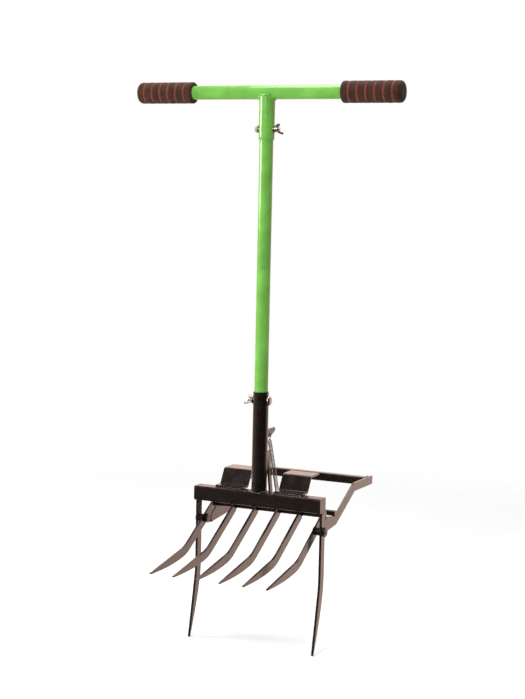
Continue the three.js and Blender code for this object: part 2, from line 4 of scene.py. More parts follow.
import bmesh
import bpy
import numpy as np
from bpy.props import (
    FloatProperty,
    FloatVectorProperty,
    IntProperty,
    PointerProperty,
)
from mathutils import Matrix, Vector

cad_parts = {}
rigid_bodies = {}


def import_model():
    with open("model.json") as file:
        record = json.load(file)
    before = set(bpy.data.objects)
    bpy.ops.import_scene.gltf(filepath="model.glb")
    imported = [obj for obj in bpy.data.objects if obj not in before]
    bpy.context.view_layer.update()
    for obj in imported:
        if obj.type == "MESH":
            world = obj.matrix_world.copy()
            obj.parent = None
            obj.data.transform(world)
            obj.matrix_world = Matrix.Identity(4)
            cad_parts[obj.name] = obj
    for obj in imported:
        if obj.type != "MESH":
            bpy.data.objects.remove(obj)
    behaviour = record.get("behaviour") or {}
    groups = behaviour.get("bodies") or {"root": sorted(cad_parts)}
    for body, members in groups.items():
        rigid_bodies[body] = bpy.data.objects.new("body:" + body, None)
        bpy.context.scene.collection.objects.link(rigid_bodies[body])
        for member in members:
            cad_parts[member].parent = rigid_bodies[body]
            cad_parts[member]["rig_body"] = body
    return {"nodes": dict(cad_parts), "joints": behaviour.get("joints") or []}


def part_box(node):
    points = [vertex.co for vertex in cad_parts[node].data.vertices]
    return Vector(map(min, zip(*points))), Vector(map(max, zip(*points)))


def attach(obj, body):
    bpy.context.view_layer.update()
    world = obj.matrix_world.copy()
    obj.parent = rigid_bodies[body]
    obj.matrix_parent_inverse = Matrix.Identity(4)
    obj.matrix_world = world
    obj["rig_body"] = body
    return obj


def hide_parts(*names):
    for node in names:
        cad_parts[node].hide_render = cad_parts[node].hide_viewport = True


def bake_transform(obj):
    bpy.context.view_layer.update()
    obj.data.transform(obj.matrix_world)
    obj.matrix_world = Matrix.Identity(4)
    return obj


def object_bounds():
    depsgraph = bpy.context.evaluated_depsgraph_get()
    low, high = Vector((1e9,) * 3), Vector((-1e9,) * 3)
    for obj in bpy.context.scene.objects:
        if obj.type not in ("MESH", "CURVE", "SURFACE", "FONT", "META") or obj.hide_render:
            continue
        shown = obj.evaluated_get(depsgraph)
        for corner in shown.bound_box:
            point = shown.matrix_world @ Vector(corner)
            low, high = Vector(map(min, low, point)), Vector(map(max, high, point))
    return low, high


bl_info = {
    "name": "Soil Fork",
    "version": (1, 0, 0),
    "blender": (4, 5, 0),
    "location": "3D View > Sidebar > Soil Fork",
    "description": "Builds a two-handed soil fork with a spring-held comb, piece by piece",
    "category": "Add Mesh",
}

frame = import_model()
NODES = frame["nodes"]
CAD_BOUNDS = [list(corner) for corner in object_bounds()]
SIDES = (("left", -1), ("right", 1))


def low(node):
    """The lowest corner of a CAD node's box."""
    return np.array(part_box(node)[0])


def high(node):
    """The highest corner of a CAD node's box."""
    return np.array(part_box(node)[1])


def middle(node):
    """The middle of a CAD node's box."""
    return (low(node) + high(node)) / 2


# The comb's hinge, the height of a pivot bolt's head, and the hole in the lug that takes the spring.
PIVOT = np.array(frame["joints"][0]["pos_m"])
PIVOT_HEAD = 0.0024
SPRING_TOP = np.array([0, 0.042, 0.142])

# Room between pieces that seat on each other, room between a bolt and its hole, and how far the middle of a
# weld stands off the faces it joins.
FIT = 0.0003
PLAY = 0.0002
WELD_OFFSET = 0.0002


# Sizes and colours


def metres(name, description, default):
    """A length that a user may set."""
    words = {"name": name, "description": description}
    return FloatProperty(**words, default=default, unit="LENGTH", min=0, precision=5)


def degrees(name, description, default):
    """An angle that a user may set."""
    return FloatProperty(name=name, description=description, default=radians(default), subtype="ANGLE")


def tint(name, description, default):
    """A colour that a user may set."""
    words = {"name": name, "description": description}
    return FloatVectorProperty(**words, default=default, subtype="COLOR", min=0, max=1)


class ForkFinishes(bpy.types.PropertyGroup):
    """Colours and gloss"""

    green: tint("Green paint", "Colour of the handle and shaft", (0.165, 0.44, 0.075))
    black: tint("Black paint", "Colour of the fork", (0.0080, 0.0042, 0.0033))
    # Lighter colour on rounded edges: partly rubbed wear, partly a painted highlight.
    rubbed_and_highlight: tint("Rubbed black", "Black paint where edges rub", (0.060, 0.040, 0.032))
    zinc: tint("Zinc", "Colour of the plated fasteners", (0.62, 0.59, 0.52))
    steel: tint("Spring steel", "Colour of the spring", (0.22, 0.20, 0.19))
    foam: tint("Foam", "Colour of the grips", (0.048, 0.019, 0.010))
    stripe: tint("Stripe", "Colour of the rings in the grips", (0.20, 0.040, 0.032))


class ForkHandle(bpy.types.PropertyGroup):
    """Sizes of the handle"""

    wall: metres("Tube wall", "Wall of the green tubes", 0.002)
    socket_wall: metres("Socket wall", "Wall of both sockets", 0.0017)
    cope: metres("Cope", "How far below the bar's axis the handle socket ends", 0.006)
    grip_round: metres("Grip end radius", "Rounding of a grip's outer end", 0.007)
    grip_lip: metres("Grip lip radius", "Rounding of a grip's inner end", 0.0035)
    grip_wall: metres("Grip end wall", "Foam past the end of the bar", 0.008)
    stripe_first: metres("First ring", "From the inner end to the first ring", 0.017)
    stripe_pitch: metres("Ring pitch", "From ring to ring", 0.0181)
    stripe_width: metres("Ring width", "Width of one ring", 0.0036)
    stripe_count: IntProperty(name="Rings", description="Rings in each grip", default=6, min=1, max=12)


class ForkClamps(bpy.types.PropertyGroup):
    """Sizes of the clamp bolts"""

    bolt: metres("Bolt", "Diameter of the bolts", 0.008)
    thread: metres("Thread pitch", "From thread to thread", 0.00125)
    threaded: metres("Threaded length", "Thread at the end of a bolt", 0.016)
    head: metres("Head height", "Height of a bolt's head", 0.0053)
    flats: metres("Head flats", "Across the flats of the hex head", 0.013)
    dome: metres("Dome", "Radius of the round head", 0.010)
    hub: metres("Hub radius", "Radius of the wing nut's hub", 0.0065)
    hub_height: metres("Hub height", "Height of the wing nut's hub", 0.008)
    wing_height: metres("Wing height", "Height of the wing nut", 0.015)
    wing_reach: metres("Wing reach", "From the bolt's axis to a wing's tip", 0.015)
    wing: metres("Wing thickness", "Thickness of a wing", 0.0026)
    handle_turn: degrees("Handle nut turn", "How the handle's wing nut stands", -43)
    socket_turn: degrees("Socket nut turn", "How the socket's wing nut stands", -28.6)


class ForkFrame(bpy.types.PropertyGroup):
    """Sizes of the fork"""

    bar: metres("Bar width", "Width of the flat bar", 0.018)
    edge: metres("Edge radius", "Rounding of the flat bar's edges", 0.0005)
    blunt: metres("Blunt tip", "Width left at a tine's tip", 0.002)
    long_bend: metres("Long tine bend", "Depth of the long tines' bend", 0.150)
    long_ease: metres("Long tine ease", "Reach of that bend's curve", 0.018)
    long_belly: metres("Long tine belly", "How far past the bend the rear edge stays full", 0.062)
    slope: degrees("Tine slope", "Fall of the comb's tines", 30)
    run: metres("Tine run", "Pivot to a comb tine's bend", 0.099)
    tip_slope: degrees("Tip slope", "Fall of a comb tine's tip", 9.5)
    tip_run: metres("Tip run", "Bend to tip of a comb tine", 0.146)
    ease: metres("Tine ease", "Reach of the comb tines' bend", 0.014)
    belly: metres("Belly", "How far past the bend a comb tine's lower edge stays full", 0.068)
    rod_distance: metres("Rod distance", "Pivot to the rod that joins the tines", 0.050)
    tread: metres("Tread thickness", "Thickness of the tread plates", 0.004)
    flange: metres("Tread flange", "Width of the flange on the beam", 0.024)
    setback: metres("Tread setback", "How far the web leans back", 0.018)
    tread_bend: metres("Tread bend", "Radius of the tread's bends", 0.005)
    arm_raise: metres("Arm raise", "Arm's centre line above the pivot", 0.002)
    arm_start: metres("Arm start", "Pivot to the arm's front end", 0.025)
    arm_run: metres("Arm run", "Pivot to the arm's first bend", 0.104)
    arm_climb: degrees("Arm climb", "Rise of the arm's middle", 27.2)
    arm_climb_run: metres("Arm climb run", "Length of the arm's middle", 0.116)
    arm_top: metres("Arm top", "Length of the arm's rear part", 0.109)
    arm_fall: degrees("Arm fall", "Fall of the arm's rear part", 1)
    arm_bend: metres("Arm bend", "Radius of the arm's bends", 0.020)
    arm_flare: degrees("Arm flare", "How the arm widens towards the pivot, above", 10)
    arm_drop: degrees("Arm drop", "How the arm widens towards the pivot, below", 5)
    stop_arm: metres("Stop arm", "Width of the stop arm", 0.012)
    beam_corner: metres("Beam corner", "Corner radius of the beam", 0.004)
    rear_corner: metres("Rear bar corner", "Corner radius of the rear bar", 0.003)
    weld: metres("Weld", "Radius of a weld bead", 0.0019)


class ForkSpring(bpy.types.PropertyGroup):
    """Sizes of the spring"""

    wire: metres("Wire", "Diameter of the wire", 0.0015)
    diameter: metres("Coil", "Outside diameter of the coil", 0.009)
    pitch: metres("Pitch", "From turn to turn", 0.003)
    loop: metres("Loop", "Radius of the top loop", 0.0042)
    lead: metres("Lead", "From each end's centre to the coil", 0.012)
    hook_gap: metres("Hook gap", "Room between the hook and its rod", 0.0004)


# Surfaces. A shell is points, quads, end faces and a rim weight, 1 where an edge is rounded.


def unit(v):
    """Each vector divided by its length."""
    return v / np.maximum(np.linalg.norm(v, axis=-1, keepdims=True), 1e-12)


def grid(points, rim=0, ring=False):
    """Quads over rows of points. Each row is a closed ring. If ring is set the rows close on each other, and
    otherwise the first and last rows are filled with flat faces."""
    rows, cols = points.shape[:2]
    i = np.arange(rows if ring else rows - 1)[:, None] * cols
    j = np.arange(cols)[None, :]
    k = (j + 1) % cols
    n = (i + cols) % (rows * cols)
    quads = np.stack([i + j, i + k, n + k, n + j], -1).reshape(-1, 4)
    ends = [] if ring else [np.arange(cols)[::-1], np.arange(cols) + (rows - 1) * cols]
    return points.reshape(-1, 3), quads, ends, np.broadcast_to(rim, (rows, cols)).ravel()


def moved(shell, turn, offset):
    """A shell turned by a 3 by 3 matrix, then shifted."""
    return (shell[0] @ np.asarray(turn).T + offset, *shell[1:])


def soften(points, radius, closed=True, steps=4, least=0.3):
    """Rounds the corners of a line of points in a plane. Where the line turns by more than least, the arc of
    that radius that touches both sides takes the corner's place: its centre lies on the corner's bisector,
    radius / cos(turn / 2) away. A point just off each end of the arc keeps the flats flat.
    Gives the points, and 1 on the arcs."""
    points = np.asarray(points, float)
    radius = np.broadcast_to(np.asarray(radius, float), len(points)).copy()
    before, after = unit(np.roll(points, 1, 0) - points), unit(np.roll(points, -1, 0) - points)
    turn = pi - np.arccos(np.clip((before * after).sum(1), -1, 1))
    bend = (turn > least) & (radius > 0)
    if not closed:
        bend[[0, -1]] = False
    turn = np.where(bend, turn, 1.0)
    reach = (radius * np.tan(turn / 2))[:, None]
    centre = points + unit(before + after) * (radius / np.cos(turn / 2))[:, None]
    start, end = points + before * reach, points + after * reach
    share = np.linspace(0, 1, steps + 1)[None, :, None]
    wide = turn[:, None, None]
    leaving = np.sin((1 - share) * wide) * (start - centre)[:, None]
    arriving = np.sin(share * wide) * (end - centre)[:, None]
    arc = (leaving + arriving) / np.sin(wide) + centre[:, None]
    lead = 0.15
    lead_in = (start + before * reach * lead)[:, None]
    lead_out = (end + after * reach * lead)[:, None]
    out = np.concatenate([lead_in, arc, lead_out], 1)
    out[~bend] = points[~bend][:, None]
    keep = np.zeros(out.shape[:2], bool)
    keep[bend] = True
    keep[~bend, 0] = True
    weight = np.zeros(out.shape[:2])
    weight[bend, 1:-1] = 1
    return out[keep], weight[keep]


def bezier(start, control, end, steps=14):
    """Points of the curve (1-t)^2 start + 2t(1-t) control + t^2 end."""
    t = np.linspace(0, 1, steps)[:, None]
    return (1 - t) ** 2 * np.array(start) + 2 * t * (1 - t) * np.array(control) + t**2 * np.array(end)


def heading(turn):
    """The direction (cos turn, sin turn) in the (Y, Z) plane."""
    return np.array([cos(turn), sin(turn)])


def slab(outline, start, end, edge):
    """A flat outline in (Y, Z) given a thickness along X. Each row is the outline drawn in by
    edge (1 - sin a) at edge (1 - cos a) from a face, for a from 0 to a right angle."""
    outline = np.asarray(outline, float)
    after = np.roll(outline, -1, 0)
    area = (outline[:, 0] * after[:, 1] - after[:, 0] * outline[:, 1]).sum()
    outline = outline if area > 0 else outline[::-1]
    side = unit(np.roll(outline, -1, 0) - outline)
    normal = np.stack([side[:, 1], -side[:, 0]], -1)
    previous = np.roll(normal, 1, 0)
    mitre = (normal + previous) / (1 + (normal * previous).sum(1))[:, None]
    a = np.linspace(0, pi / 2, 4)
    lead = 1.25
    inset = np.concatenate([[lead], 1 - np.sin(a), [0]]) * edge
    depth = np.concatenate([[0], 1 - np.cos(a), [lead]]) * edge
    rim = np.array([0, *np.ones(len(a)), 0])
    inset, rim = np.concatenate([inset, inset[::-1]]), np.concatenate([rim, rim])
    x = np.concatenate([start + depth, end - depth[::-1]])
    flat = outline[None] - inset[:, None, None] * mitre[None]
    points = np.concatenate([np.broadcast_to(x[:, None, None], (*flat.shape[:2], 1)), flat], -1)
    return grid(points, rim[:, None])


AXES = {
    "X": ((1, 0, 0), (0, 1, 0), (0, 0, 1)),
    "-X": ((-1, 0, 0), (0, -1, 0), (0, 0, 1)),
    "Z": ((0, 0, 1), (1, 0, 0), (0, 1, 0)),
}


def circle(count):
    """Angles once round, evenly spaced."""
    return 2 * pi * np.arange(count) / count


def spokes(axis, t):
    """The direction along an axis, and those square to it at the angles t: across cos t + up sin t."""
    along, across, up = (np.array(v, float) for v in AXES[axis])
    return along, np.cos(t)[:, None] * across + np.sin(t)[:, None] * up


def turned(profile, origin, axis, rim=0, ring=False, segments=72):
    """A profile of (radius, distance) turned about an axis: origin + distance along + radius spoke(t)."""
    along, spoke = spokes(axis, circle(segments))
    profile = np.asarray(profile, float)
    points = origin + profile[:, None, 1:] * along + profile[:, None, :1] * spoke[None]
    return grid(points, np.asarray(rim)[:, None] if np.ndim(rim) else rim, ring)


def pipe(inner, outer, start, end, origin, axis, edge=0.0004, segments=72):
    """A tube: the rectangle between two radii and two distances, corners rounded, turned about an axis."""
    profile, rim = soften([(inner, start), (outer, start), (outer, end), (inner, end)], edge)
    return turned(profile, origin, axis, rim, True, segments)


def rod(radius, start, end, origin, axis, edge=0.0005, segments=48):
    """A solid rod with rounded ends, turned about an axis. Each end is filled from a ring near its middle."""
    middle_ring = radius * 0.2
    line = [(middle_ring, start), (radius, start), (radius, end), (middle_ring, end)]
    profile, rim = soften(line, [0, edge, edge, 0], closed=False)
    return turned(profile, origin, axis, rim, False, segments)


def hexagon(flats, start, end, origin, axis, bore=0):
    """A hexagon whose radius is flats / 2 / cos(t), t measured from the nearest flat, cut back by a cone
    towards its end. With a bore it is a nut, and a second cone cuts back its start."""
    t = circle(96)
    corner = flats / 2 / np.cos((t + pi / 6) % (pi / 3) - pi / 6)
    h = np.linspace(start, end, 25)
    face, slope = flats / 2 * 0.97, 1.73
    cone = face + (end - h) * slope
    if bore:
        cone = np.minimum(cone, face + (h - start) * slope)
    radius = np.minimum(corner[None], cone[:, None])
    if bore:
        radius = np.concatenate([radius, np.full((2, len(t)), bore)])
        h = np.append(h, [end, start])
    along, spoke = spokes(axis, t)
    points = origin + h[:, None, None] * along + radius[..., None] * spoke
    return grid(points, 0, bool(bore))


def thread(radius, pitch, start, end, origin, axis):
    """A screw thread: the radius falls by a triangle wave of distance / pitch - t / (2 pi), which fades in
    over the first turn and out over the last."""
    t = circle(36)
    rows_per_turn, depth = 10, 0.55
    h = np.linspace(start, end, int((end - start) / pitch * rows_per_turn) + 1)
    wave = np.abs(((h[:, None] / pitch - t[None] / (2 * pi)) % 1) - 0.5) * 2
    ends = np.clip(np.minimum(h - start, end - h) / pitch, 0, 1)
    radius = radius - pitch * depth * (1 - (1 - wave) * ends[:, None])
    along, spoke = spokes(axis, t)
    return grid(origin + h[:, None, None] * along + radius[..., None] * spoke)


def sweep(path, radius, sides=10, closed=False):
    """A round wire along a line of points. Each ring stands square to the line, and it is turned from the
    ring before only as far as the line itself turns."""
    path = np.asarray(path, float)
    if closed:
        tangent = unit(np.roll(path, -1, 0) - np.roll(path, 1, 0))
    else:
        tangent = unit(np.gradient(path, axis=0))
    side = unit(np.cross(tangent, np.eye(3)[np.abs(tangent).argmin(1)]))
    up = np.cross(tangent, side)
    following = np.roll(tangent, -1, 0)
    hinge = np.cross(tangent, following)
    cosine = (tangent * following).sum(1, keepdims=True)
    carried = side * cosine + np.cross(hinge, side)
    carried = carried + hinge * (hinge * side).sum(1, keepdims=True) / (1 + cosine)
    next_side, next_up = np.roll(side, -1, 0), np.roll(up, -1, 0)
    step = np.arctan2((carried * next_up).sum(1), (carried * next_side).sum(1))
    twist = np.concatenate([[0], np.cumsum(step[:-1])])
    if closed:
        left = (twist[-1] + step[-1] + pi) % (2 * pi) - pi
        twist = twist - left * np.arange(len(path)) / len(path)
    t = circle(sides) + twist[:, None]
    spoke = np.cos(t)[..., None] * side[:, None] + np.sin(t)[..., None] * up[:, None]
    radius = np.broadcast_to(radius, len(path))[:, None, None]
    return grid(path[:, None] + radius * spoke, 0, closed)


def bead(path, radius, closed=False, pitch=0.0021):
    """A weld bead: a wire along evenly spaced points, its radius rising and falling by a sine of the
    distance, and shrinking to about a third at its ends."""
    path = np.asarray(path, float)
    line = np.vstack([path, path[:1]]) if closed else path
    distance = np.concatenate([[0], np.cumsum(np.linalg.norm(np.diff(line, axis=0), axis=1))])
    ripples = max(2, round(distance[-1] / pitch))
    rows_per_ripple, least = 5, 0.35
    s = np.linspace(0, distance[-1], ripples * rows_per_ripple + 1)
    even = np.stack([np.interp(s, distance, line[:, i]) for i in range(3)], -1)
    swell = 1 + 0.09 * np.sin(2 * pi * ripples * s / distance[-1]) + 0.05 * np.sin(s * 900)
    if closed:
        return sweep(even[:-1], radius * swell[:-1], 12, True)
    taper = np.clip(np.minimum(s, distance[-1] - s) / radius, 0, 1)
    return sweep(even, radius * swell * (least + (1 - least) * np.sqrt(taper)), 12)


def add_piece(name, shells, material, nodes=(), body=None, sharp=38):
    """Makes one object from shells, turns its faces outwards, and gives it its material and body. A piece
    whose body is "free" is left without one."""
    points, quads, ends, rims = zip(*shells)
    starts = np.cumsum([0] + [len(p) for p in points])
    faces = []
    for start, sides, caps in zip(starts, quads, ends):
        faces += (sides + start).tolist() + [(cap + start).tolist() for cap in caps]
    mesh = bpy.data.meshes.new(name)
    mesh.from_pydata(np.vstack(points).tolist(), [], faces)
    rim = np.concatenate(rims).astype(np.float32)
    mesh.attributes.new("rim", "FLOAT", "POINT").data.foreach_set("value", rim)
    shape = bmesh.new()
    shape.from_mesh(mesh)
    bmesh.ops.recalc_face_normals(shape, faces=shape.faces)
    shape.to_mesh(mesh)
    shape.free()
    mesh.shade_smooth()
    mesh.set_sharp_from_angle(angle=radians(sharp))
    mesh.materials.append(bpy.data.materials[material])
    piece = bpy.data.objects.new(name, mesh)
    bpy.context.scene.collection.objects.link(piece)
    if nodes:
        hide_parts(*nodes)
    if body != "free":
        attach(piece, body or NODES[nodes[0]]["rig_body"])
    return piece


# Materials


class Nodes:
    """A node tree whose nodes are added one by one."""

    def __init__(self, tree):
        self.tree = tree

    def feed(self, socket, value):
        """Links a value that is a socket, and sets any other."""
        if isinstance(value, bpy.types.NodeSocket):
            self.tree.links.new(value, socket)
        else:
            socket.default_value = value

    def add(self, kind, inputs=(), **settings):
        """A new node with its settings and inputs."""
        node = self.tree.nodes.new("ShaderNode" + kind)
        for key, value in settings.items():
            setattr(node, key, value)
        for key, value in dict(inputs).items():
            self.feed(node.inputs[key], value)
        return node

    def ramp(self, value, start, end, first=0.0, last=1.0):
        """A smooth step from first to last as the value goes from start to end."""
        inputs = {"Value": value, "From Min": start, "From Max": end, "To Min": first, "To Max": last}
        return self.add("MapRange", inputs, interpolation_type="SMOOTHSTEP").outputs["Result"]

    def math(self, operation, *values):
        """One sum on values that are sockets or numbers."""
        return self.add("Math", dict(enumerate(values)), operation=operation).outputs[0]


class Finish(Nodes):
    """A material's nodes, which all feed one shader."""

    def __init__(self, name):
        self.material = bpy.data.materials.new(name)
        self.material.use_nodes = True
        super().__init__(self.material.node_tree)
        self.shader = self.tree.nodes["Principled BSDF"]
        self.place = self.tree.nodes.new("ShaderNodeTexCoord").outputs["Object"]

    def noise(self, scale, detail=2.0, place=None):
        """Cloudy noise over the object, or over another place."""
        inputs = {"Vector": place or self.place, "Scale": scale, "Detail": detail}
        return self.add("TexNoise", inputs).outputs["Fac"]

    def stretched(self, x, y, z):
        """Object coordinates with each axis scaled, for grain that runs one way."""
        return self.add("Mapping", {"Vector": self.place, "Scale": (x, y, z)}).outputs["Vector"]

    def mix(self, factor, first, second):
        """The first colour, turning into the second as the factor rises to 1."""
        return self.add("Mix", {0: factor, 6: first, 7: second}, data_type="RGBA").outputs[2]

    def bump(self, height, distance, strength=1.0, under=None):
        """A bumped normal, on top of the one under it if there is one."""
        inputs = {"Height": height, "Distance": distance, "Strength": strength}
        if under is not None:
            inputs["Normal"] = under
        return self.add("Bump", inputs).outputs["Normal"]

    def set(self, **values):
        """Sets or links the shader's own sockets, named with _ for a space."""
        for key, value in values.items():
            self.feed(self.shader.inputs[key.replace("_", " ")], value)


def shade(base, share):
    """A colour times a share, no channel above 1, with full alpha."""
    return (*(min(1.0, c * share) for c in base), 1.0)


def paint(name, base, rubbed_and_highlight, rough, specular, peel, coat=0.0):
    """Sprayed paint: slow changes of colour, a fine orange peel, and rubbed rims whose lighter colour is
    partly wear and partly a painted highlight.
    """
    f = Finish(name)
    cloud = f.ramp(f.noise(26, 4), 0.3, 0.7)
    colour = f.mix(cloud, shade(base, 0.86), shade(base, 1.12))
    rim = f.add("Attribute", attribute_name="rim").outputs["Fac"]
    # Patchy lighter paint along the rounded rims: partly wear, partly a painted highlight on the edges.
    wear_and_highlight = f.math("MULTIPLY", f.ramp(f.noise(330, 5), 0.50, 0.68), f.math("MULTIPLY", rim, 0.65))
    colour = f.mix(wear_and_highlight, colour, (*rubbed_and_highlight, 1))
    dust = f.ramp(f.noise(1500, 3), 0.68, 0.8, 0, 0.06)
    colour = f.mix(dust, colour, shade(rubbed_and_highlight, 1.4))
    drift = f.ramp(f.noise(60, 5), 0.3, 0.72, rough * 0.8, rough * 1.3)
    grain = f.bump(f.noise(620, 2), 0.00006 * peel, 1.0)
    grain = f.bump(f.noise(90, 3), 0.00022 * peel, 0.6, grain)
    f.set(Base_Color=colour, Roughness=f.math("ADD", drift, f.math("MULTIPLY", wear_and_highlight, 0.15)), Normal=grain)
    f.set(Specular_IOR_Level=specular, Coat_Weight=coat, Coat_Roughness=0.12)
    return f


def metal(name, base, rough, grain_scale):
    """Plated or drawn metal: cloudy plating, fine drawn lines and small dark pits."""
    f = Finish(name)
    cloud = f.ramp(f.noise(210, 5), 0.3, 0.7)
    colour = f.mix(cloud, shade(base, 0.72), shade(base, 1.15))
    pits = f.ramp(f.noise(1300, 3), 0.62, 0.78, 0, 0.5)
    colour = f.mix(pits, colour, shade(base, 0.3))
    lines = f.noise(1.0, 3, f.stretched(*grain_scale))
    f.set(Base_Color=colour, Metallic=1.0, Roughness=f.ramp(lines, 0.3, 0.7, rough * 0.8, rough * 1.4))
    f.set(Normal=f.bump(lines, 0.00002, 1.0, f.bump(f.noise(420, 2), 0.00005)))
    return f


def foam(finishes, handle):
    """Closed-cell foam: pits from a cell pattern, bumped in and darkened with painted shade, and rings where
    the distance along the bar falls near a whole number of pitches."""
    f = Finish("foam_grip")
    x = f.math("ABSOLUTE", f.add("SeparateXYZ", {"Vector": f.place}).outputs["X"])
    first = low("grip_right")[0] + handle.stripe_first
    wobble = f.math("MULTIPLY", f.math("SUBTRACT", f.noise(140, 3), 0.5), 0.0016)
    steps = f.math("DIVIDE", f.math("ADD", f.math("SUBTRACT", x, first), wobble), handle.stripe_pitch)
    off = f.math("ABSOLUTE", f.math("SUBTRACT", steps, f.math("ROUND", steps)))
    half = handle.stripe_width / handle.stripe_pitch / 2
    ring = f.ramp(off, half * 0.8, half * 1.15, 1, 0)
    inside = f.math("LESS_THAN", steps, handle.stripe_count - 0.5)
    ring = f.math("MULTIPLY", ring, f.math("MULTIPLY", inside, f.math("GREATER_THAN", steps, -0.5)))
    dark = f.mix(f.ramp(f.noise(75, 5), 0.3, 0.7), shade(finishes.foam, 0.75), shade(finishes.foam, 1.3))
    red = f.mix(f.ramp(f.noise(95, 4), 0.3, 0.7), shade(finishes.stripe, 0.72), shade(finishes.stripe, 1.2))
    cells = f.add("TexVoronoi", {"Vector": f.place, "Scale": 950.0}, feature="F1").outputs["Distance"]
    # Painted shade in the cells' pits, darkest where the bump sinks deepest.
    painted_pit_shade = f.ramp(cells, 0.10, 0.42, 0.55, 0)
    colour = f.mix(ring, dark, red)
    colour = f.mix(painted_pit_shade, colour, shade(finishes.foam, 0.3))
    fuzz = f.bump(f.noise(2100, 3), 0.00010, 0.8)
    f.set(Base_Color=colour, Roughness=f.ramp(cells, 0.1, 0.5, 1.0, 0.82))
    f.set(Normal=f.bump(f.ramp(cells, 0.08, 0.5), 0.00028, 1.0, fuzz))
    f.set(Sheen_Weight=0.1, Sheen_Roughness=0.5, Specular_IOR_Level=0.12)
    return f


class SOILFORK_OT_finishes(bpy.types.Operator):
    """Makes the paints, metals and foam"""

    bl_idname = "soilfork.finishes"
    bl_label = "Finishes"

    def execute(self, context):
        f = context.scene.soilfork_finishes
        # A paler green for the rims: partly wear, partly a painted highlight.
        pale = tuple(min(1.0, c * 1.5 + 0.02) for c in f.green)
        paint("green_gloss", f.green, pale, rough=0.15, specular=0.5, peel=0.16)
        paint("black_satin", f.black, f.rubbed_and_highlight, rough=0.24, specular=0.5, peel=0.6, coat=0.7)
        paint("black_tube", f.black, f.rubbed_and_highlight, rough=0.24, specular=0.45, peel=0.5, coat=0.4)
        metal("zinc_plate", f.zinc, rough=0.30, grain_scale=(900, 120, 120))
        metal("spring_wire", f.steel, rough=0.28, grain_scale=(140, 140, 900))
        foam(f, context.scene.soilfork_handle)
        return {"FINISHED"}


# Handle and shaft


class SOILFORK_OT_grips(bpy.types.Operator):
    """Makes the foam grips, each a profile with a groove at both edges of every ring, turned about the bar"""

    bl_idname = "soilfork.grips"
    bl_label = "Foam grips"

    def execute(self, context):
        h = context.scene.soilfork_handle
        start, end, radius = low("grip_right")[0], high("grip_right")[0], high("grip_right")[1]
        bore = high("handle_bar")[1] + FIT
        wall = end - h.grip_wall
        bar = np.array([0, 0, middle("handle_bar")[2]])
        near = 0.002
        line = [(near, wall), (bore, wall), (bore, start), (radius, start), (radius, end), (near, end)]
        profile, _ = soften(line, [0, 0.0008, 0.002, h.grip_lip, h.grip_round, 0], closed=False, steps=7)
        distance = np.linalg.norm(np.diff(profile, axis=0), axis=1)
        distance = np.concatenate([[0], np.cumsum(distance)])
        groove_width, groove_depth, crown_height = 0.0006, 0.00028, 0.0002
        s = np.unique(np.concatenate([distance, np.arange(0, distance[-1], groove_width)]))
        r, x = (np.interp(s, distance, profile[:, i]) for i in (0, 1))
        rings = start + h.stripe_first + h.stripe_pitch * np.arange(h.stripe_count)
        edges = np.concatenate([rings - h.stripe_width / 2, rings + h.stripe_width / 2])
        groove = groove_depth * np.exp(-(((x[:, None] - edges) / groove_width) ** 2)).sum(1)
        crown = crown_height * np.sin((x - start) * 340) * np.sin((x - start) * 71 + 1)
        outside = r > bore + 0.003
        r = np.where(outside, r - groove + crown, r)
        for name, _ in SIDES:
            shell = turned(np.stack([r, x], -1), bar, "X" if name == "right" else "-X", segments=80)
            piece = add_piece(f"{name}_foam_grip", [shell], "foam_grip", [f"grip_{name}"])
        return {"FINISHED"}


class SOILFORK_OT_handle(bpy.types.Operator):
    """Makes the handle bar, its socket and the weld between them"""

    bl_idname = "soilfork.handle"
    bl_label = "Handle bar and socket"

    def execute(self, context):
        h = context.scene.soilfork_handle
        bar, radius = middle("handle_bar"), high("handle_bar")[1]
        half = high("handle_bar")[0]
        tube = pipe(radius - h.wall, radius, -half, half, bar, "X")
        add_piece("handle_bar_tube", [tube], "green_gloss", ["handle_bar"])

        outer = high("handle_socket")[1]
        inner, bottom = outer - h.socket_wall, low("handle_socket")[2]
        t = circle(96)
        gap = radius + FIT

        def coped(y):
            """Height of the coped rim at y: the bar's own curve, no higher than the cope."""
            return bar[2] - np.sqrt(np.maximum(gap**2 - y**2, h.cope**2))

        inner_top, outer_top = coped(inner * np.sin(t)), coped(outer * np.sin(t))
        share, level = np.linspace(0, 1, 12)[:, None], np.ones((1, len(t)))
        lip = 0.0006
        rows = [
            (inner, inner_top + (bottom - inner_top) * share),
            (inner + lip * 0.3, bottom * level),
            (outer - lip, bottom * level),
            (outer - lip * 0.3, (bottom + lip * 0.3) * level),
            (outer, bottom + lip + (outer_top - bottom - lip) * share),
        ]
        radii = np.concatenate([np.full(z.shape, r) for r, z in rows])
        z = np.concatenate([z for _, z in rows])
        tube = grid(np.stack([radii * np.cos(t), radii * np.sin(t), z], -1), 0, True)
        add_piece("handle_socket_tube", [tube], "green_gloss", ["handle_socket"])

        y = outer * np.sin(t) * 0.98
        weld = bead(np.stack([outer * np.cos(t) * 1.02, y, coped(y)], -1), 0.0021, True)
        add_piece("handle_weld", [weld], "green_gloss", body="fork", sharp=80)
        return {"FINISHED"}


def upright(node, wall, edge=0.0004):
    """The tube that fills a node's box, standing on its end."""
    radius = high(node)[1]
    return pipe(radius - wall, radius, low(node)[2], high(node)[2], np.zeros(3), "Z", edge)


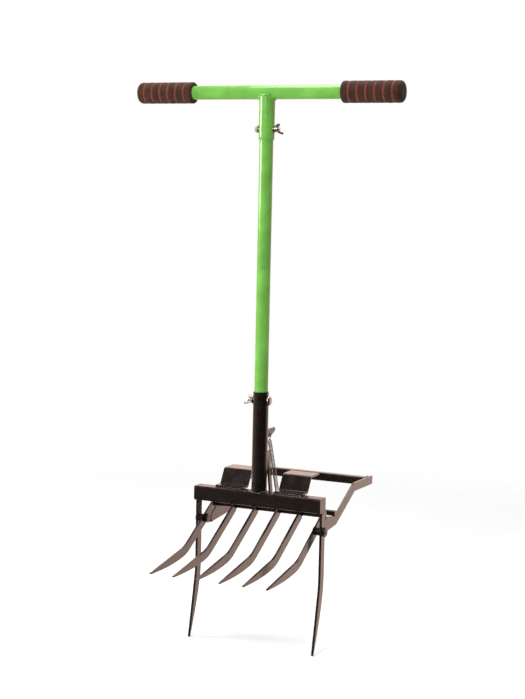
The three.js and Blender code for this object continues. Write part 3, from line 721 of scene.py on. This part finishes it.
class SOILFORK_OT_shaft(bpy.types.Operator):
    """Makes the two shaft tubes, the sleeve inside them and the lower socket"""

    bl_idname = "soilfork.shaft"
    bl_label = "Shaft"

    def execute(self, context):
        h = context.scene.soilfork_handle
        for name in ("upper_shaft", "lower_shaft"):
            tube = upright(name, h.wall, 0.0009)
            add_piece(f"{name}_tube", [tube], "green_gloss", [name])
        tube = upright("shaft_sleeve", h.wall)
        add_piece("joint_sleeve_tube", [tube], "zinc_plate", ["shaft_sleeve"])
        tube = upright("lower_socket", h.socket_wall, 0.0007)
        add_piece("lower_socket_tube", [tube], "black_tube", ["lower_socket"])
        return {"FINISHED"}


def wing_nut(c, seat, axis, origin, turn):
    """A wing nut's shells: a hub turned from its profile, and two ears cut from one plate whose edges are
    fully rounded, turned about the bolt."""
    bore = c.bolt / 2 + PLAY
    line = [(bore, 0), (c.hub, 0), (c.hub * 0.86, c.hub_height), (bore, c.hub_height)]
    profile, rim = soften(line, [0.0003, 0.0006, 0.0012, 0.0004])
    hub = turned(profile + [0, seat], origin, axis, rim, True, 48)
    reach, top, root = c.wing_reach, c.wing_height, bore + 0.0006
    ear = np.vstack([
        [(root, 0.0012)],
        bezier((c.hub, 0.0012), (c.hub + 0.003, 0.0022), (reach - 0.0022, top * 0.5), 8),
        bezier((reach - 0.0008, top * 0.6), (reach + 0.0014, top * 0.98), (reach - 0.0036, top), 10),
        bezier(
            (reach - 0.0056, top * 0.94),
            (c.hub + 0.0006, c.hub_height * 1.12),
            (root, c.hub_height * 0.9),
            8,
        ),
    ])
    ears = [slab(ear * [flip, 1], -c.wing / 2, c.wing / 2, c.wing * 0.3) for flip in (1, -1)]
    along, across, up = (np.array(v, float) for v in AXES[axis])
    spoke, flat = cos(turn) * across + sin(turn) * up, cos(turn) * up - sin(turn) * across
    basis = np.stack([flat, spoke, along], -1)
    return [hub] + [moved(e, basis, origin + along * seat) for e in ears]


class SOILFORK_OT_clamps(bpy.types.Operator):
    """Makes both clamp bolts with their washers and wing nuts"""

    bl_idname = "soilfork.clamps"
    bl_label = "Clamp bolts"

    def execute(self, context):
        c = context.scene.soilfork_clamps
        for name, axis, turn in (("handle", "X", c.handle_turn), ("socket", "-X", c.socket_turn)):
            origin = np.array([0, 0, middle(f"{name}_bolt")[2]])
            tip, tail = high(f"{name}_bolt")[0], -low(f"{name}_bolt")[0]
            reach, back = (tip, tail) if axis == "X" else (tail, tip)
            head = -back + c.head
            shells = [
                rod(c.bolt / 2, head - 0.0005, reach - c.threaded, origin, axis, 0.0003, 32),
                thread(c.bolt / 2, c.thread, reach - c.threaded, reach, origin, axis),
            ]
            if name == "handle":
                shells.append(hexagon(c.flats, -head, back, origin, "-X"))
            else:
                a = np.linspace(0.12, pi / 2, 12)
                dome = np.stack([c.dome * np.sin(a), head - c.head * np.cos(a)], -1)
                head_line = np.vstack([dome, [(c.dome - PLAY, head), (c.bolt / 4, head)]])
                shells.append(turned(head_line, origin, axis, segments=48))
            add_piece(f"{name}_clamp_bolt", shells, "zinc_plate", [f"{name}_bolt"], sharp=30)
            for end in ("head", "nut"):
                node = f"{name}_washer_{end}"
                lowest, highest, radius = low(node)[0], high(node)[0], high(node)[1]
                ring = pipe(c.bolt / 2 + PLAY, radius, lowest, highest, origin, "X", 0.0003, 48)
                add_piece(f"{name}_washer_{end}_ring", [ring], "zinc_plate", [node])
            node = f"{name}_wing_nut"
            seat = low(node)[0] if axis == "X" else -high(node)[0]
            shells = wing_nut(c, seat, axis, origin, turn)
            add_piece(f"{name}_wing_nut_cast", shells, "zinc_plate", [node])
        return {"FINISHED"}


# Beam, tines and treads


def square(width, height, corner):
    """A rectangle about (0, 0) with round corners."""
    y, z = width / 2, height / 2
    return soften([(-y, -z), (y, -z), (y, z), (-y, z)], corner, steps=7)[0]


class SOILFORK_OT_beam(bpy.types.Operator):
    """Makes the beam, its end plates and the socket's weld"""

    bl_idname = "soilfork.beam"
    bl_label = "Beam"

    def execute(self, context):
        f = context.scene.soilfork_frame
        lowest, highest = low("front_beam"), high("front_beam")
        centre = middle("front_beam")[1:]
        outline = square(*(highest - lowest)[1:], f.beam_corner) + centre
        tube = slab(outline, lowest[0], highest[0], f.edge)
        add_piece("front_beam_tube", [tube], "black_tube", ["front_beam"])
        for name, _ in SIDES:
            node = f"beam_end_plate_{name}"
            plate = slab(outline, low(node)[0], high(node)[0], f.edge * 1.6)
            add_piece(f"beam_end_{name}", [plate], "black_satin", [node])

        radius = high("lower_socket")[1] + WELD_OFFSET
        t = circle(120)
        inset = 0.0006
        y = np.clip(radius * np.sin(t), lowest[1] + inset, highest[1] - inset)
        flat = (highest - lowest)[1] / 2 - f.beam_corner
        drop = np.sqrt(np.maximum(f.beam_corner**2 - np.maximum(np.abs(y) - flat, 0) ** 2, 0))
        z = highest[2] - f.beam_corner + drop + 2 * WELD_OFFSET
        weld = bead(np.stack([radius * np.cos(t), y, z], -1), f.weld, True)
        add_piece("socket_weld", [weld], "black_satin", body="fork", sharp=80)
        return {"FINISHED"}


class SOILFORK_OT_long_tines(bpy.types.Operator):
    """Makes the two long tines and their welds"""

    bl_idname = "soilfork.long_tines"
    bl_label = "Long tines"

    def execute(self, context):
        f = context.scene.soilfork_frame
        lowest, highest = low("long_tine_right"), high("long_tine_right")
        rear, top, tip = highest[1], highest[2], lowest[1:]
        front, bend = rear - f.bar, -f.long_bend
        rake = np.array([tip[0] - front, tip[1] - bend])
        way = unit(rake)
        past = np.array([front, bend]) + way * f.long_ease
        full = np.array([front, bend]) + np.array([-way[1], way[0]]) * f.bar
        corner = np.array([rear, bend - f.bar * tan(np.arctan2(-way[0], -way[1]) / 2)])
        outline = np.vstack([
            [(front, top)],
            bezier((front, bend + f.long_ease), (front, bend), past, 12),
            [tip],
            bezier(tip + [f.blunt, 0], full + way * f.long_belly, full + way * f.long_ease, 32),
            bezier(full + way * f.long_ease, corner, (rear, bend + f.long_ease), 12)[1:],
            [(rear, top)],
        ])
        outline = soften(outline, f.edge * 1.5, steps=4)[0]
        for name, side in SIDES:
            node = f"long_tine_{name}"
            bar = slab(outline, low(node)[0], high(node)[0], f.edge)
            add_piece(f"long_tine_{name}_bar", [bar], "black_satin", [node])
            inner = side * (min(abs(low(node)[0]), abs(high(node)[0])) - WELD_OFFSET)
            short, z = 0.002, top + WELD_OFFSET
            weld = bead([(inner, front + short, z), (inner, rear - short, z)], f.weld * 0.8)
            add_piece(f"long_tine_{name}_weld", [weld], "black_satin", body="fork", sharp=80)
        return {"FINISHED"}


def strip(line, width, bend):
    """The outline of a bar of constant width along a bent line: the line set off by half the width to each
    side, with bends of radius bend - width / 2 inside and bend + width / 2 outside."""
    line = np.asarray(line, float)
    step = unit(np.diff(line, axis=0))
    normal = np.stack([-step[:, 1], step[:, 0]], -1)
    first, last = np.vstack([normal[:1], normal]), np.vstack([normal, normal[-1:]])
    mitre = (first + last) / (1 + (first * last).sum(1))[:, None]
    turn = np.sign(np.cross(step[:-1], step[1:]))
    inner = np.concatenate([[0], bend - turn * width / 2, [0]])
    outer = np.concatenate([[0], bend + turn * width / 2, [0]])
    upper = soften(line + mitre * width / 2, inner, False, 8, 0.005)[0]
    under = soften(line - mitre * width / 2, outer, False, 8, 0.005)[0]
    return upper, under


class SOILFORK_OT_treads(bpy.types.Operator):
    """Makes the foot treads and their welds"""

    bl_idname = "soilfork.treads"
    bl_label = "Treads"

    def execute(self, context):
        f = context.scene.soilfork_frame
        for name, _ in SIDES:
            node = f"tread_{name}"
            lowest, highest = low(node), high(node)
            half = f.tread / 2
            front, rear = lowest[1], lowest[1] + f.flange
            line = [
                (front, lowest[2] + half),
                (rear, lowest[2] + half),
                (rear + f.setback, highest[2] - half),
                (highest[1], highest[2] - half),
            ]
            upper, under = strip(line, f.tread, f.tread_bend)
            outline = soften(np.vstack([upper, under[::-1]]), 0.0011, least=0.9)[0]
            plate = slab(outline, lowest[0], highest[0], 0.0007)
            add_piece(f"tread_{name}_plate", [plate], "black_satin", [node])
            start, end, run = lowest[0] + 0.003, highest[0] - 0.003, 0.020
            y, z = front - WELD_OFFSET, lowest[2] + WELD_OFFSET
            welds = [bead([(start, y, z), (end, y, z)], f.weld * 0.5)]
            y, z = high("front_beam")[1] - 0.0006, high("front_beam")[2] - 0.0008
            for near in (start, end - run):
                welds.append(bead([(near, y, z), (near + run, y, z)], f.weld))
            add_piece(f"tread_{name}_welds", welds, "black_satin", body="fork", sharp=80)
        return {"FINISHED"}


class SOILFORK_OT_pivots(bpy.types.Operator):
    """Makes the pivot bolts, nuts and spacers; both bolts have their nut on the right"""

    bl_idname = "soilfork.pivots"
    bl_label = "Pivot bolts"

    def execute(self, context):
        for name, _ in SIDES:
            bolt, nut, spacer = (f"pivot_{part}_{name}" for part in ("bolt", "nut", "spacer"))
            across = high(nut) - low(nut)
            flats = min(across[1], across[2] * sqrt(3) / 2)
            radius = flats * 5 / 17
            width = (high(bolt) - low(bolt))[1] / 2
            origin = PIVOT * [0, 1, 1]
            top, seat, end = low(bolt)[0], low(bolt)[0] + PIVOT_HEAD, high(bolt)[0]
            near, crown, skirt, pitch = 0.002, width * 0.62, 0.0009, 0.0015
            line = [(near, top), (crown, top), (width, seat - skirt), (width, seat), (radius * 0.8, seat)]
            profile, rim = soften(line, [0, 0.004, 0.0006, 0.0003, 0], closed=False, steps=6)
            shells = [
                turned(profile, origin, "X", rim, segments=48),
                rod(radius, seat - 0.0003, low(nut)[0] + 0.001, origin, "X", 0.0003, 36),
                thread(radius, pitch, low(nut)[0], end, origin, "X"),
            ]
            add_piece(f"pivot_{name}_bolt", shells, "black_satin", [bolt], sharp=30)
            ring = hexagon(flats, low(nut)[0], high(nut)[0], origin, "X", radius + PLAY)
            add_piece(f"pivot_{name}_nut", [ring], "black_satin", [nut], sharp=30)
            width = (high(spacer) - low(spacer))[1] / 2
            ring = pipe(radius + PLAY, width, low(spacer)[0], high(spacer)[0], origin, "X")
            add_piece(f"pivot_{name}_spacer", [ring], "black_satin", [spacer])
        return {"FINISHED"}


# Comb frame


def along_tine(f, distance, offset):
    """A point on a comb tine, measured from the pivot down its centre line and square to it."""
    return PIVOT[1:] + heading(pi + f.slope) * distance + heading(pi / 2 + f.slope) * offset


def tine_outline(f, tail, round_tail):
    """A comb tine: parallel bar, one bend at its top edge, and a belly that sweeps up to the tip."""
    half = f.bar / 2
    bend, tip_way = along_tine(f, f.run, half), heading(pi + f.tip_slope)
    tip = bend + tip_way * f.tip_run
    full = bend - heading(pi / 2 + f.tip_slope) * f.bar
    corner = along_tine(f, f.run + f.bar * tan((f.slope - f.tip_slope) / 2), -half)
    parts = [
        bezier(along_tine(f, f.run - f.ease, half), bend, bend + tip_way * f.ease, 12),
        [tip, tip - [0, f.blunt]],
        bezier(tip - [0, f.blunt], full + tip_way * f.belly, full + tip_way * f.ease, 32)[1:],
        bezier(full + tip_way * f.ease, corner, along_tine(f, f.run - f.ease, -half), 12)[1:],
    ]
    if round_tail:
        centre = along_tine(f, half - tail, 0)
        t = f.slope - pi / 2 + np.linspace(0, pi, 25)
        parts.append(centre + half * np.stack([np.cos(t), np.sin(t)], -1))
    else:
        parts.append([along_tine(f, -tail, -half), along_tine(f, -tail, half)])
    return soften(np.vstack(parts), f.edge * 1.5, least=0.5)[0]


# Points in the path of a weld round a rod.
ARC_POINTS = 24


def rod_arc(centre, radius, start, end, x):
    """Points round a rod in the plane at x, from one angle to another."""
    t = np.linspace(start, end, ARC_POINTS)
    y, z = centre[0] + radius * np.cos(t), centre[1] + radius * np.sin(t)
    return np.stack([np.full(len(t), x), y, z], -1)


class SOILFORK_OT_comb(bpy.types.Operator):
    """Makes the comb's six tines, the rod behind them and its welds"""

    bl_idname = "soilfork.comb"
    bl_label = "Comb"

    def execute(self, context):
        f = context.scene.soilfork_frame
        centre = middle("comb_rod")[1:]
        radius = (high("comb_rod") - low("comb_rod"))[1] / 2
        tail = f.rod_distance - radius - FIT
        inner = [f"inner_tine_{i}" for i in range(1, 5)]
        outline = tine_outline(f, tail, False)
        for i, node in enumerate(inner, 1):
            bar = slab(outline, low(node)[0], high(node)[0], f.edge)
            add_piece(f"comb_tine_{i}_bar", [bar], "black_satin", [node])
        outline = tine_outline(f, f.rod_distance + f.bar / 2, True)
        for name, _ in SIDES:
            node = f"outer_tine_{name}"
            bar = slab(outline, low(node)[0], high(node)[0], f.edge)
            add_piece(f"comb_tine_{name}_bar", [bar], "black_satin", [node])
        spot = np.array([0, *centre])
        shaft = rod(radius, low("comb_rod")[0], high("comb_rod")[0], spot, "X")
        add_piece("comb_cross_rod", [shaft], "black_satin", ["comb_rod"])

        facing, spread = pi + f.slope, 1.1
        first, last = facing - spread, facing + spread
        welds = []
        for node in inner:
            for x in (low(node)[0] - WELD_OFFSET, high(node)[0] + WELD_OFFSET):
                arc = rod_arc(centre, radius + 2 * WELD_OFFSET, first, last, x)
                welds.append(bead(arc, f.weld * 0.7))
        round_end = 2 * pi * (ARC_POINTS - 1) / ARC_POINTS
        for x in (low("comb_rod")[0] + 2 * WELD_OFFSET, high("comb_rod")[0] - 2 * WELD_OFFSET):
            arc = rod_arc(centre, radius + WELD_OFFSET, 0, round_end, x)
            welds.append(bead(arc, f.weld * 0.7, True))
        add_piece("comb_welds", welds, "black_satin", body="comb_frame", sharp=80)
        return {"FINISHED"}


def crossing(a, way_a, b, way_b):
    """Where the line through a along way_a meets the line through b along way_b."""
    return a + way_a * (np.cross(b - a, way_b) / np.cross(way_a, way_b))


def arm_line(f):
    """The arm's centre line: level, then a climb, then nearly level again."""
    start = PIVOT[1:] + [f.arm_start, f.arm_raise]
    legs = [(0, f.arm_run - f.arm_start), (f.arm_climb, f.arm_climb_run), (-f.arm_fall, f.arm_top)]
    return np.cumsum(np.vstack([start] + [heading(a) * d for a, d in legs]), 0)


def arm_outline(f):
    """A side arm: a strip along its centre line whose front widens, above and below, until it meets the
    rear edge of the outer tine. Gives the outline, both ends of that seam, and the seam's direction."""
    line = arm_line(f)
    upper, under = strip(line, f.bar, f.arm_bend)
    rear_up, rear_down = upper[len(upper) // 2:], under[len(under) // 2:]
    half, flare, climb = f.bar / 2, heading(pi - f.arm_flare), heading(f.arm_climb)
    square_to_climb = heading(f.arm_climb + pi / 2)
    seam, way = along_tine(f, 0, -half - FIT), -heading(pi + f.slope)
    crook = line[1] + [0, half]
    meets = crossing(crook, flare, seam, way)
    starts = seam + way * ((line[0, 0] - seam[0]) / way[0])
    corner = crossing(crook, flare, line[1] + square_to_climb * f.bar / 2, climb)
    toe = line[0] - [0, half + (f.arm_run - f.arm_start) * tan(f.arm_drop)]
    under_crook, drop = line[1] - [0, half], heading(pi + f.arm_drop)
    heel = crossing(under_crook, drop, line[1] - square_to_climb * f.bar / 2, climb)
    front = soften([meets, corner, rear_up[0]], [0, 0.006, 0], False, 8, 0.01)[0]
    back = soften([rear_down[0], heel, toe], [0, 0.02, 0], False, 8, 0.01)[0]
    outline = np.vstack([starts, front[:-1], rear_up, rear_down[::-1], back[1:]])
    return soften(outline, 0.0011, least=0.5)[0], starts, meets, way


class SOILFORK_OT_arms(bpy.types.Operator):
    """Makes the side arms, the rear bar, the spring rod, the stop arm and their welds"""

    bl_idname = "soilfork.arms"
    bl_label = "Arms and rear bar"

    def execute(self, context):
        f = context.scene.soilfork_frame
        outline, starts, meets, way = arm_outline(f)
        welds, short = [], 0.001
        for name, _ in SIDES:
            node = f"side_arm_{name}"
            arm = slab(outline, low(node)[0], high(node)[0], f.edge)
            add_piece(f"side_arm_{name}_bar", [arm], "black_satin", [node])
            for x in (low(node)[0], high(node)[0]):
                ends = [(x, *(starts + way * short)), (x, *(meets - way * short))]
                welds.append(bead(ends, f.weld * 0.75))

        lowest, highest = low("rear_bar"), high("rear_bar")
        size = (highest - lowest)[1:]
        outline = square(size[0] - 0.0002, size[1] - 0.0002, f.rear_corner)
        fall = -f.arm_fall
        turn = np.array([[cos(fall), sin(fall)], [-sin(fall), cos(fall)]])
        outline = outline @ turn + middle("rear_bar")[1:]
        bar = slab(outline, lowest[0], highest[0], f.edge)
        add_piece("rear_bar_tube", [bar], "black_satin", ["rear_bar"])
        for x in (lowest[0] + 2 * WELD_OFFSET, highest[0] - 2 * WELD_OFFSET):
            welds.append(bead(np.column_stack([np.full(len(outline), x), outline]), f.weld * 0.7, True))

        centre = middle("spring_rod")[1:]
        radius = (high("spring_rod") - low("spring_rod"))[1] / 2
        spot = np.array([0, *centre])
        shaft = rod(radius, low("spring_rod")[0], high("spring_rod")[0], spot, "X")
        add_piece("spring_cross_rod", [shaft], "black_satin", ["spring_rod"])
        down, spread = f.arm_climb / 2 - pi / 2, 0.9
        for _, side in SIDES:
            x = side * (abs(low("side_arm_right")[0]) - FIT)
            arc = rod_arc(centre, radius + FIT, down - spread, down + spread, x)
            welds.append(bead(arc, f.weld * 0.7))
        add_piece("arm_welds", welds, "black_satin", body="comb_frame", sharp=80)
        self.stop_arm(f)
        return {"FINISHED"}

    def stop_arm(self, f):
        """The stop arm leans forwards from the comb rod until it meets the socket."""
        rod_centre = middle("comb_rod")[1:]
        radius = (high("comb_rod") - low("comb_rod"))[1] / 2
        lowest, highest = low("stop_arm"), high("stop_arm")
        half = f.stop_arm / 2
        run, rise = rod_centre[0] - lowest[1], highest[2] - rod_centre[1]
        lean = np.arctan2(run, rise) - np.arctan2(half, rise)
        way = heading(pi / 2 + lean)
        reach = rise / cos(lean) - half * tan(lean)
        start, end = rod_centre + way * (radius + FIT), rod_centre + way * reach
        across = np.array([-way[1], way[0]]) * half
        outline = soften([start + across, end + across, end - across, start - across], 0.001)[0]
        plate = slab(outline, lowest[0], highest[0], f.edge)
        add_piece("stop_arm_bar", [plate], "black_satin", ["stop_arm"])
        facing, spread = pi / 2 + lean, 0.8
        welds = []
        for x in (lowest[0] - WELD_OFFSET, highest[0] + WELD_OFFSET):
            arc = rod_arc(rod_centre, radius + 2 * WELD_OFFSET, facing - spread, facing + spread, x)
            welds.append(bead(arc, f.weld * 0.7))
        add_piece("stop_arm_welds", welds, "black_satin", body="comb_frame", sharp=80)


class SOILFORK_OT_lug(bpy.types.Operator):
    """Makes the spring's lug and its welds"""

    bl_idname = "soilfork.lug"
    bl_label = "Spring lug"

    def execute(self, context):
        f = context.scene.soilfork_frame
        lowest, highest = low("spring_lug"), high("spring_lug")
        hole, hole_radius, margin, nose = SPRING_TOP[1:], 0.003, 0.0055, 0.007
        corners = [
            (lowest[1], highest[2]),
            (lowest[1], lowest[2]),
            (hole[0] - margin, hole[1] - margin),
            (hole[0] + margin, hole[1] - margin),
            (highest[1], highest[2] - nose),
            (highest[1], highest[2]),
        ]
        outline = soften(corners, [0.0008, 0.0008, 0.002, 0.002, 0.002, 0.002], least=0.1, steps=6)[0]
        away = outline - hole
        order = np.argsort(np.arctan2(away[:, 1], away[:, 0]))
        ray = np.arctan2(away[order, 1], away[order, 0])
        t = np.unique(np.concatenate([ray, np.linspace(-pi, pi, 72, endpoint=False)]))
        wrap = np.concatenate([ray - 2 * pi, ray, ray + 2 * pi])
        flat_x, flat_y = (np.interp(t, wrap, np.tile(away[order, i], 3)) for i in (0, 1))
        rim = np.stack([flat_x, flat_y], -1)
        inside = hole_radius * np.stack([np.cos(t), np.sin(t)], -1)
        far, near = unit(rim), unit(inside)
        e = 0.0005
        rows = [
            (inside + near * e, lowest[0]),
            (rim - far * e, lowest[0]),
            (rim, lowest[0] + e),
            (rim, highest[0] - e),
            (rim - far * e, highest[0]),
            (inside + near * e, highest[0]),
            (inside, highest[0] - e),
            (inside, lowest[0] + e),
        ]
        points = np.stack([np.column_stack([np.full(len(t), x), p + hole]) for p, x in rows])
        plate = grid(points, 0, True)
        add_piece("spring_lug_plate", [plate], "black_satin", ["spring_lug"], sharp=25)
        back, start, end = lowest[1] - WELD_OFFSET, lowest[2] + 0.003, highest[2] - 0.001
        welds = [
            bead([(x, back, start), (x, back, end)], f.weld * 0.8)
            for x in (lowest[0] - FIT, highest[0] + FIT)
        ]
        add_piece("spring_lug_welds", welds, "black_satin", body="fork", sharp=80)
        return {"FINISHED"}


class SOILFORK_OT_spring(bpy.types.Operator):
    """Makes the tension spring: a loop, a coil of radius r at depth d + pitch t / (2 pi), and a foot"""

    bl_idname = "soilfork.spring"
    bl_label = "Spring"

    def execute(self, context):
        s = context.scene.soilfork_spring
        bottom = middle("spring_rod")
        across = np.array([1.0, 0, 0])
        down = unit(bottom - SPRING_TOP)
        back = np.cross(down, across)
        radius = (s.diameter - s.wire) / 2
        hook = (high("spring_rod") - low("spring_rod"))[1] / 2 + s.hook_gap + s.wire / 2
        start = s.lead
        end = np.linalg.norm(bottom - SPRING_TOP) - hook - s.lead
        turns = round((end - start) / s.pitch)

        def along(centre, *parts):
            """A line of points: the centre plus each direction times its own distances."""
            return centre + sum(np.asarray(k)[:, None] * v for v, k in parts)

        t = np.radians(np.linspace(325, 35, 40))
        loop = along(SPRING_TOP + down * s.loop, (across, s.loop * np.sin(t)), (down, s.loop * np.cos(t)))
        points_per_turn, growing = 24, 14
        n = np.arange(turns * points_per_turn + 1)
        t = 2 * pi * n / points_per_turn
        grow = radius * np.clip(np.minimum(n, n[-1] - n) / growing, 0, 1)
        depth = start + (end - start) * n / n[-1]
        coil = along(SPRING_TOP, (down, depth), (across, grow * np.sin(t)), (back, grow * np.cos(t)))
        t = np.radians(np.linspace(38, 322, 44))
        foot = along(bottom, (down, -hook * np.cos(t)), (back, hook * np.sin(t)))
        ease_in = bezier(loop[-1], SPRING_TOP + down * (2.1 * s.loop), coil[0], 10)[1:-1]
        ease_out = bezier(coil[-1], bottom - down * hook * 1.15, foot[0], 10)[1:-1]
        path = np.vstack([loop, ease_in, coil, ease_out, foot])
        wire = sweep(path, s.wire / 2, 9)
        name, finish, slot = "tension_spring_coil", "spring_wire", "spring_steel"
        piece = add_piece(name, [wire], finish, ["spring"], body="free", sharp=60)
        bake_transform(piece)
        return {"FINISHED"}


# Stage


# Each light's name, place, the point it faces, size and power.
LIGHTS = (
    ("key_light", (-0.1, -2.9, 1.5), (0, 0, 0.5), 0.6, 62),
    ("left_light", (-2.5, -0.9, 1.0), (0, 0, 0.5), 0.9, 56),
    ("top_light", (0.0, 0.4, 2.9), (0, 0, 0.3), 2.0, 76),
)
# How far the floor lies under the object.
FLOOR_DROP = 0.0006

# The camera's angles, how far it stands from the point it faces, and its lens in millimetres.
CAMERA_AZIMUTH, CAMERA_ELEVATION, CAMERA_ROLL = 0.4283, 0.1063, 0.0211
CAMERA_DISTANCE = 3.0989
CAMERA_TARGET = np.array([0.0011, 0, 0.3220])
CAMERA_LENS = 78.74


def stand(obj, side, up, back, place):
    """Adds a lamp or a camera to the scene at a place, with its own three axes along those given."""
    obj.matrix_world = Matrix([[side[i], up[i], back[i], place[i]] for i in range(3)] + [[0, 0, 0, 1]])
    bpy.context.scene.collection.objects.link(obj)


def area_light(name, place, target, size, power):
    """A soft square light at a place, facing a target."""
    lamp = bpy.data.lights.new(name, "AREA")
    lamp.size, lamp.energy = size, power
    back = unit(np.array(place, float) - np.array(target, float))
    side = unit(np.cross([0, 0, 1], back))
    stand(bpy.data.objects.new(name, lamp), side, np.cross(back, side), back, place)


class SOILFORK_OT_stage(bpy.types.Operator):
    """Makes the floor, the lights and the camera"""

    bl_idname = "soilfork.stage"
    bl_label = "Stage"

    def execute(self, context):
        scene = context.scene
        scene.view_settings.view_transform = "Standard"
        self.floor()
        self.sky(scene)
        for light in LIGHTS:
            area_light(*light)
        self.camera(scene)
        return {"FINISHED"}

    def floor(self):
        """A round floor that fades into the sky far from the object."""
        t = circle(64)
        radii = np.array([0.2, 1, 2, 4, 8])
        z = CAD_BOUNDS[0][2] - FLOOR_DROP
        ring = radii[:, None, None] * np.stack([np.cos(t), np.sin(t)], -1)
        points = np.concatenate([ring, np.full((*ring.shape[:2], 1), z)], -1)
        mesh = bpy.data.meshes.new("floor")
        points, quads, caps, _ = grid(points)
        mesh.from_pydata(points.tolist(), [], quads.tolist() + [caps[0][::-1].tolist()])
        f = Finish("pale_floor")
        distance = f.add("VectorMath", {0: f.place}, operation="LENGTH").outputs["Value"]
        f.set(Base_Color=(0.95, 0.95, 0.95, 1), Roughness=0.9, Specular_IOR_Level=0.1)
        f.set(Alpha=f.ramp(distance, 0.7, 2.2, 1, 0))
        mesh.materials.append(f.material)
        obj = bpy.data.objects.new("floor", mesh)
        bpy.context.scene.collection.objects.link(obj)
        obj.visible_glossy = False

    def sky(self, scene):
        """White to the eye. Mirrored in paint it is warm and bright behind the object, softer to the left,
        and dark in front, so that flat faces turned to the camera stay dark."""
        world = bpy.data.worlds.new("studio")
        scene.world = world
        world.use_nodes = True
        sky = Nodes(world.node_tree)
        way = sky.add("TexCoord").outputs["Generated"]
        way = sky.add("SeparateXYZ", {0: way}).outputs
        rear, left = sky.ramp(way["Y"], 0.1, 0.85, 0, 1.15), sky.ramp(way["X"], -0.1, -0.9, 0, 0.35)
        mirrored = sky.math("ADD", sky.math("ADD", rear, left), 0.03)
        path = sky.add("LightPath").outputs
        seen = {"Value": path["Is Camera Ray"], "To Min": 0.22, "To Max": 1.0}
        seen = sky.add("MapRange", seen).outputs["Result"]
        white = sky.add("Background", {"Color": (1, 1, 1, 1), "Strength": seen}).outputs[0]
        warm = {"Color": (1.0, 0.72, 0.61, 1), "Strength": mirrored}
        warm = sky.add("Background", warm).outputs[0]
        mixed = sky.add("MixShader", {0: path["Is Glossy Ray"], 1: white, 2: warm}).outputs[0]
        sky.feed(sky.tree.nodes["World Output"].inputs["Surface"], mixed)

    def camera(self, scene):
        """A camera three metres off, to the right of the front and a little above the beam."""
        azimuth, elevation, roll = CAMERA_AZIMUTH, CAMERA_ELEVATION, CAMERA_ROLL
        level = np.array([-sin(azimuth), cos(azimuth), 0])
        forward = level * cos(elevation) - np.array([0, 0, sin(elevation)])
        right = np.array([cos(azimuth), sin(azimuth), 0])
        up = np.cross(right, forward)
        side, top = cos(roll) * right + sin(roll) * up, cos(roll) * up - sin(roll) * right
        lens = bpy.data.cameras.new("camera")
        lens.lens = CAMERA_LENS
        camera = bpy.data.objects.new("camera", lens)
        stand(camera, side, top, -forward, CAMERA_TARGET - CAMERA_DISTANCE * forward)
        scene.camera = camera


GROUPS = (
    (ForkFinishes, "soilfork_finishes"),
    (ForkHandle, "soilfork_handle"),
    (ForkClamps, "soilfork_clamps"),
    (ForkFrame, "soilfork_frame"),
    (ForkSpring, "soilfork_spring"),
)
OPERATORS = (
    SOILFORK_OT_finishes,
    SOILFORK_OT_grips,
    SOILFORK_OT_handle,
    SOILFORK_OT_shaft,
    SOILFORK_OT_clamps,
    SOILFORK_OT_beam,
    SOILFORK_OT_long_tines,
    SOILFORK_OT_treads,
    SOILFORK_OT_pivots,
    SOILFORK_OT_comb,
    SOILFORK_OT_arms,
    SOILFORK_OT_lug,
    SOILFORK_OT_spring,
    SOILFORK_OT_stage,
)


class SOILFORK_PT_panel(bpy.types.Panel):
    """Lists the fork's pieces and their sizes"""

    bl_idname = "SOILFORK_PT_panel"
    bl_label = "Soil Fork"
    bl_space_type = "VIEW_3D"
    bl_region_type = "UI"
    bl_category = "Soil Fork"

    def draw(self, context):
        for operator in OPERATORS:
            self.layout.operator(operator.bl_idname)
        for group, name in GROUPS:
            box = self.layout.box()
            box.label(text=group.__doc__)
            for key in group.__annotations__:
                box.prop(getattr(context.scene, name), key)


def register():
    for group, name in GROUPS:
        bpy.utils.register_class(group)
        setattr(bpy.types.Scene, name, PointerProperty(type=group))
    for cls in (*OPERATORS, SOILFORK_PT_panel):
        bpy.utils.register_class(cls)


def unregister():
    for cls in (SOILFORK_PT_panel, *reversed(OPERATORS)):
        bpy.utils.unregister_class(cls)
    for group, name in reversed(GROUPS):
        delattr(bpy.types.Scene, name)
        bpy.utils.unregister_class(group)


def main():
    """Builds every piece."""
    register()
    for operator in OPERATORS:
        getattr(bpy.ops.soilfork, operator.bl_idname.split(".")[1])()


if __name__ == "__main__":
    main()
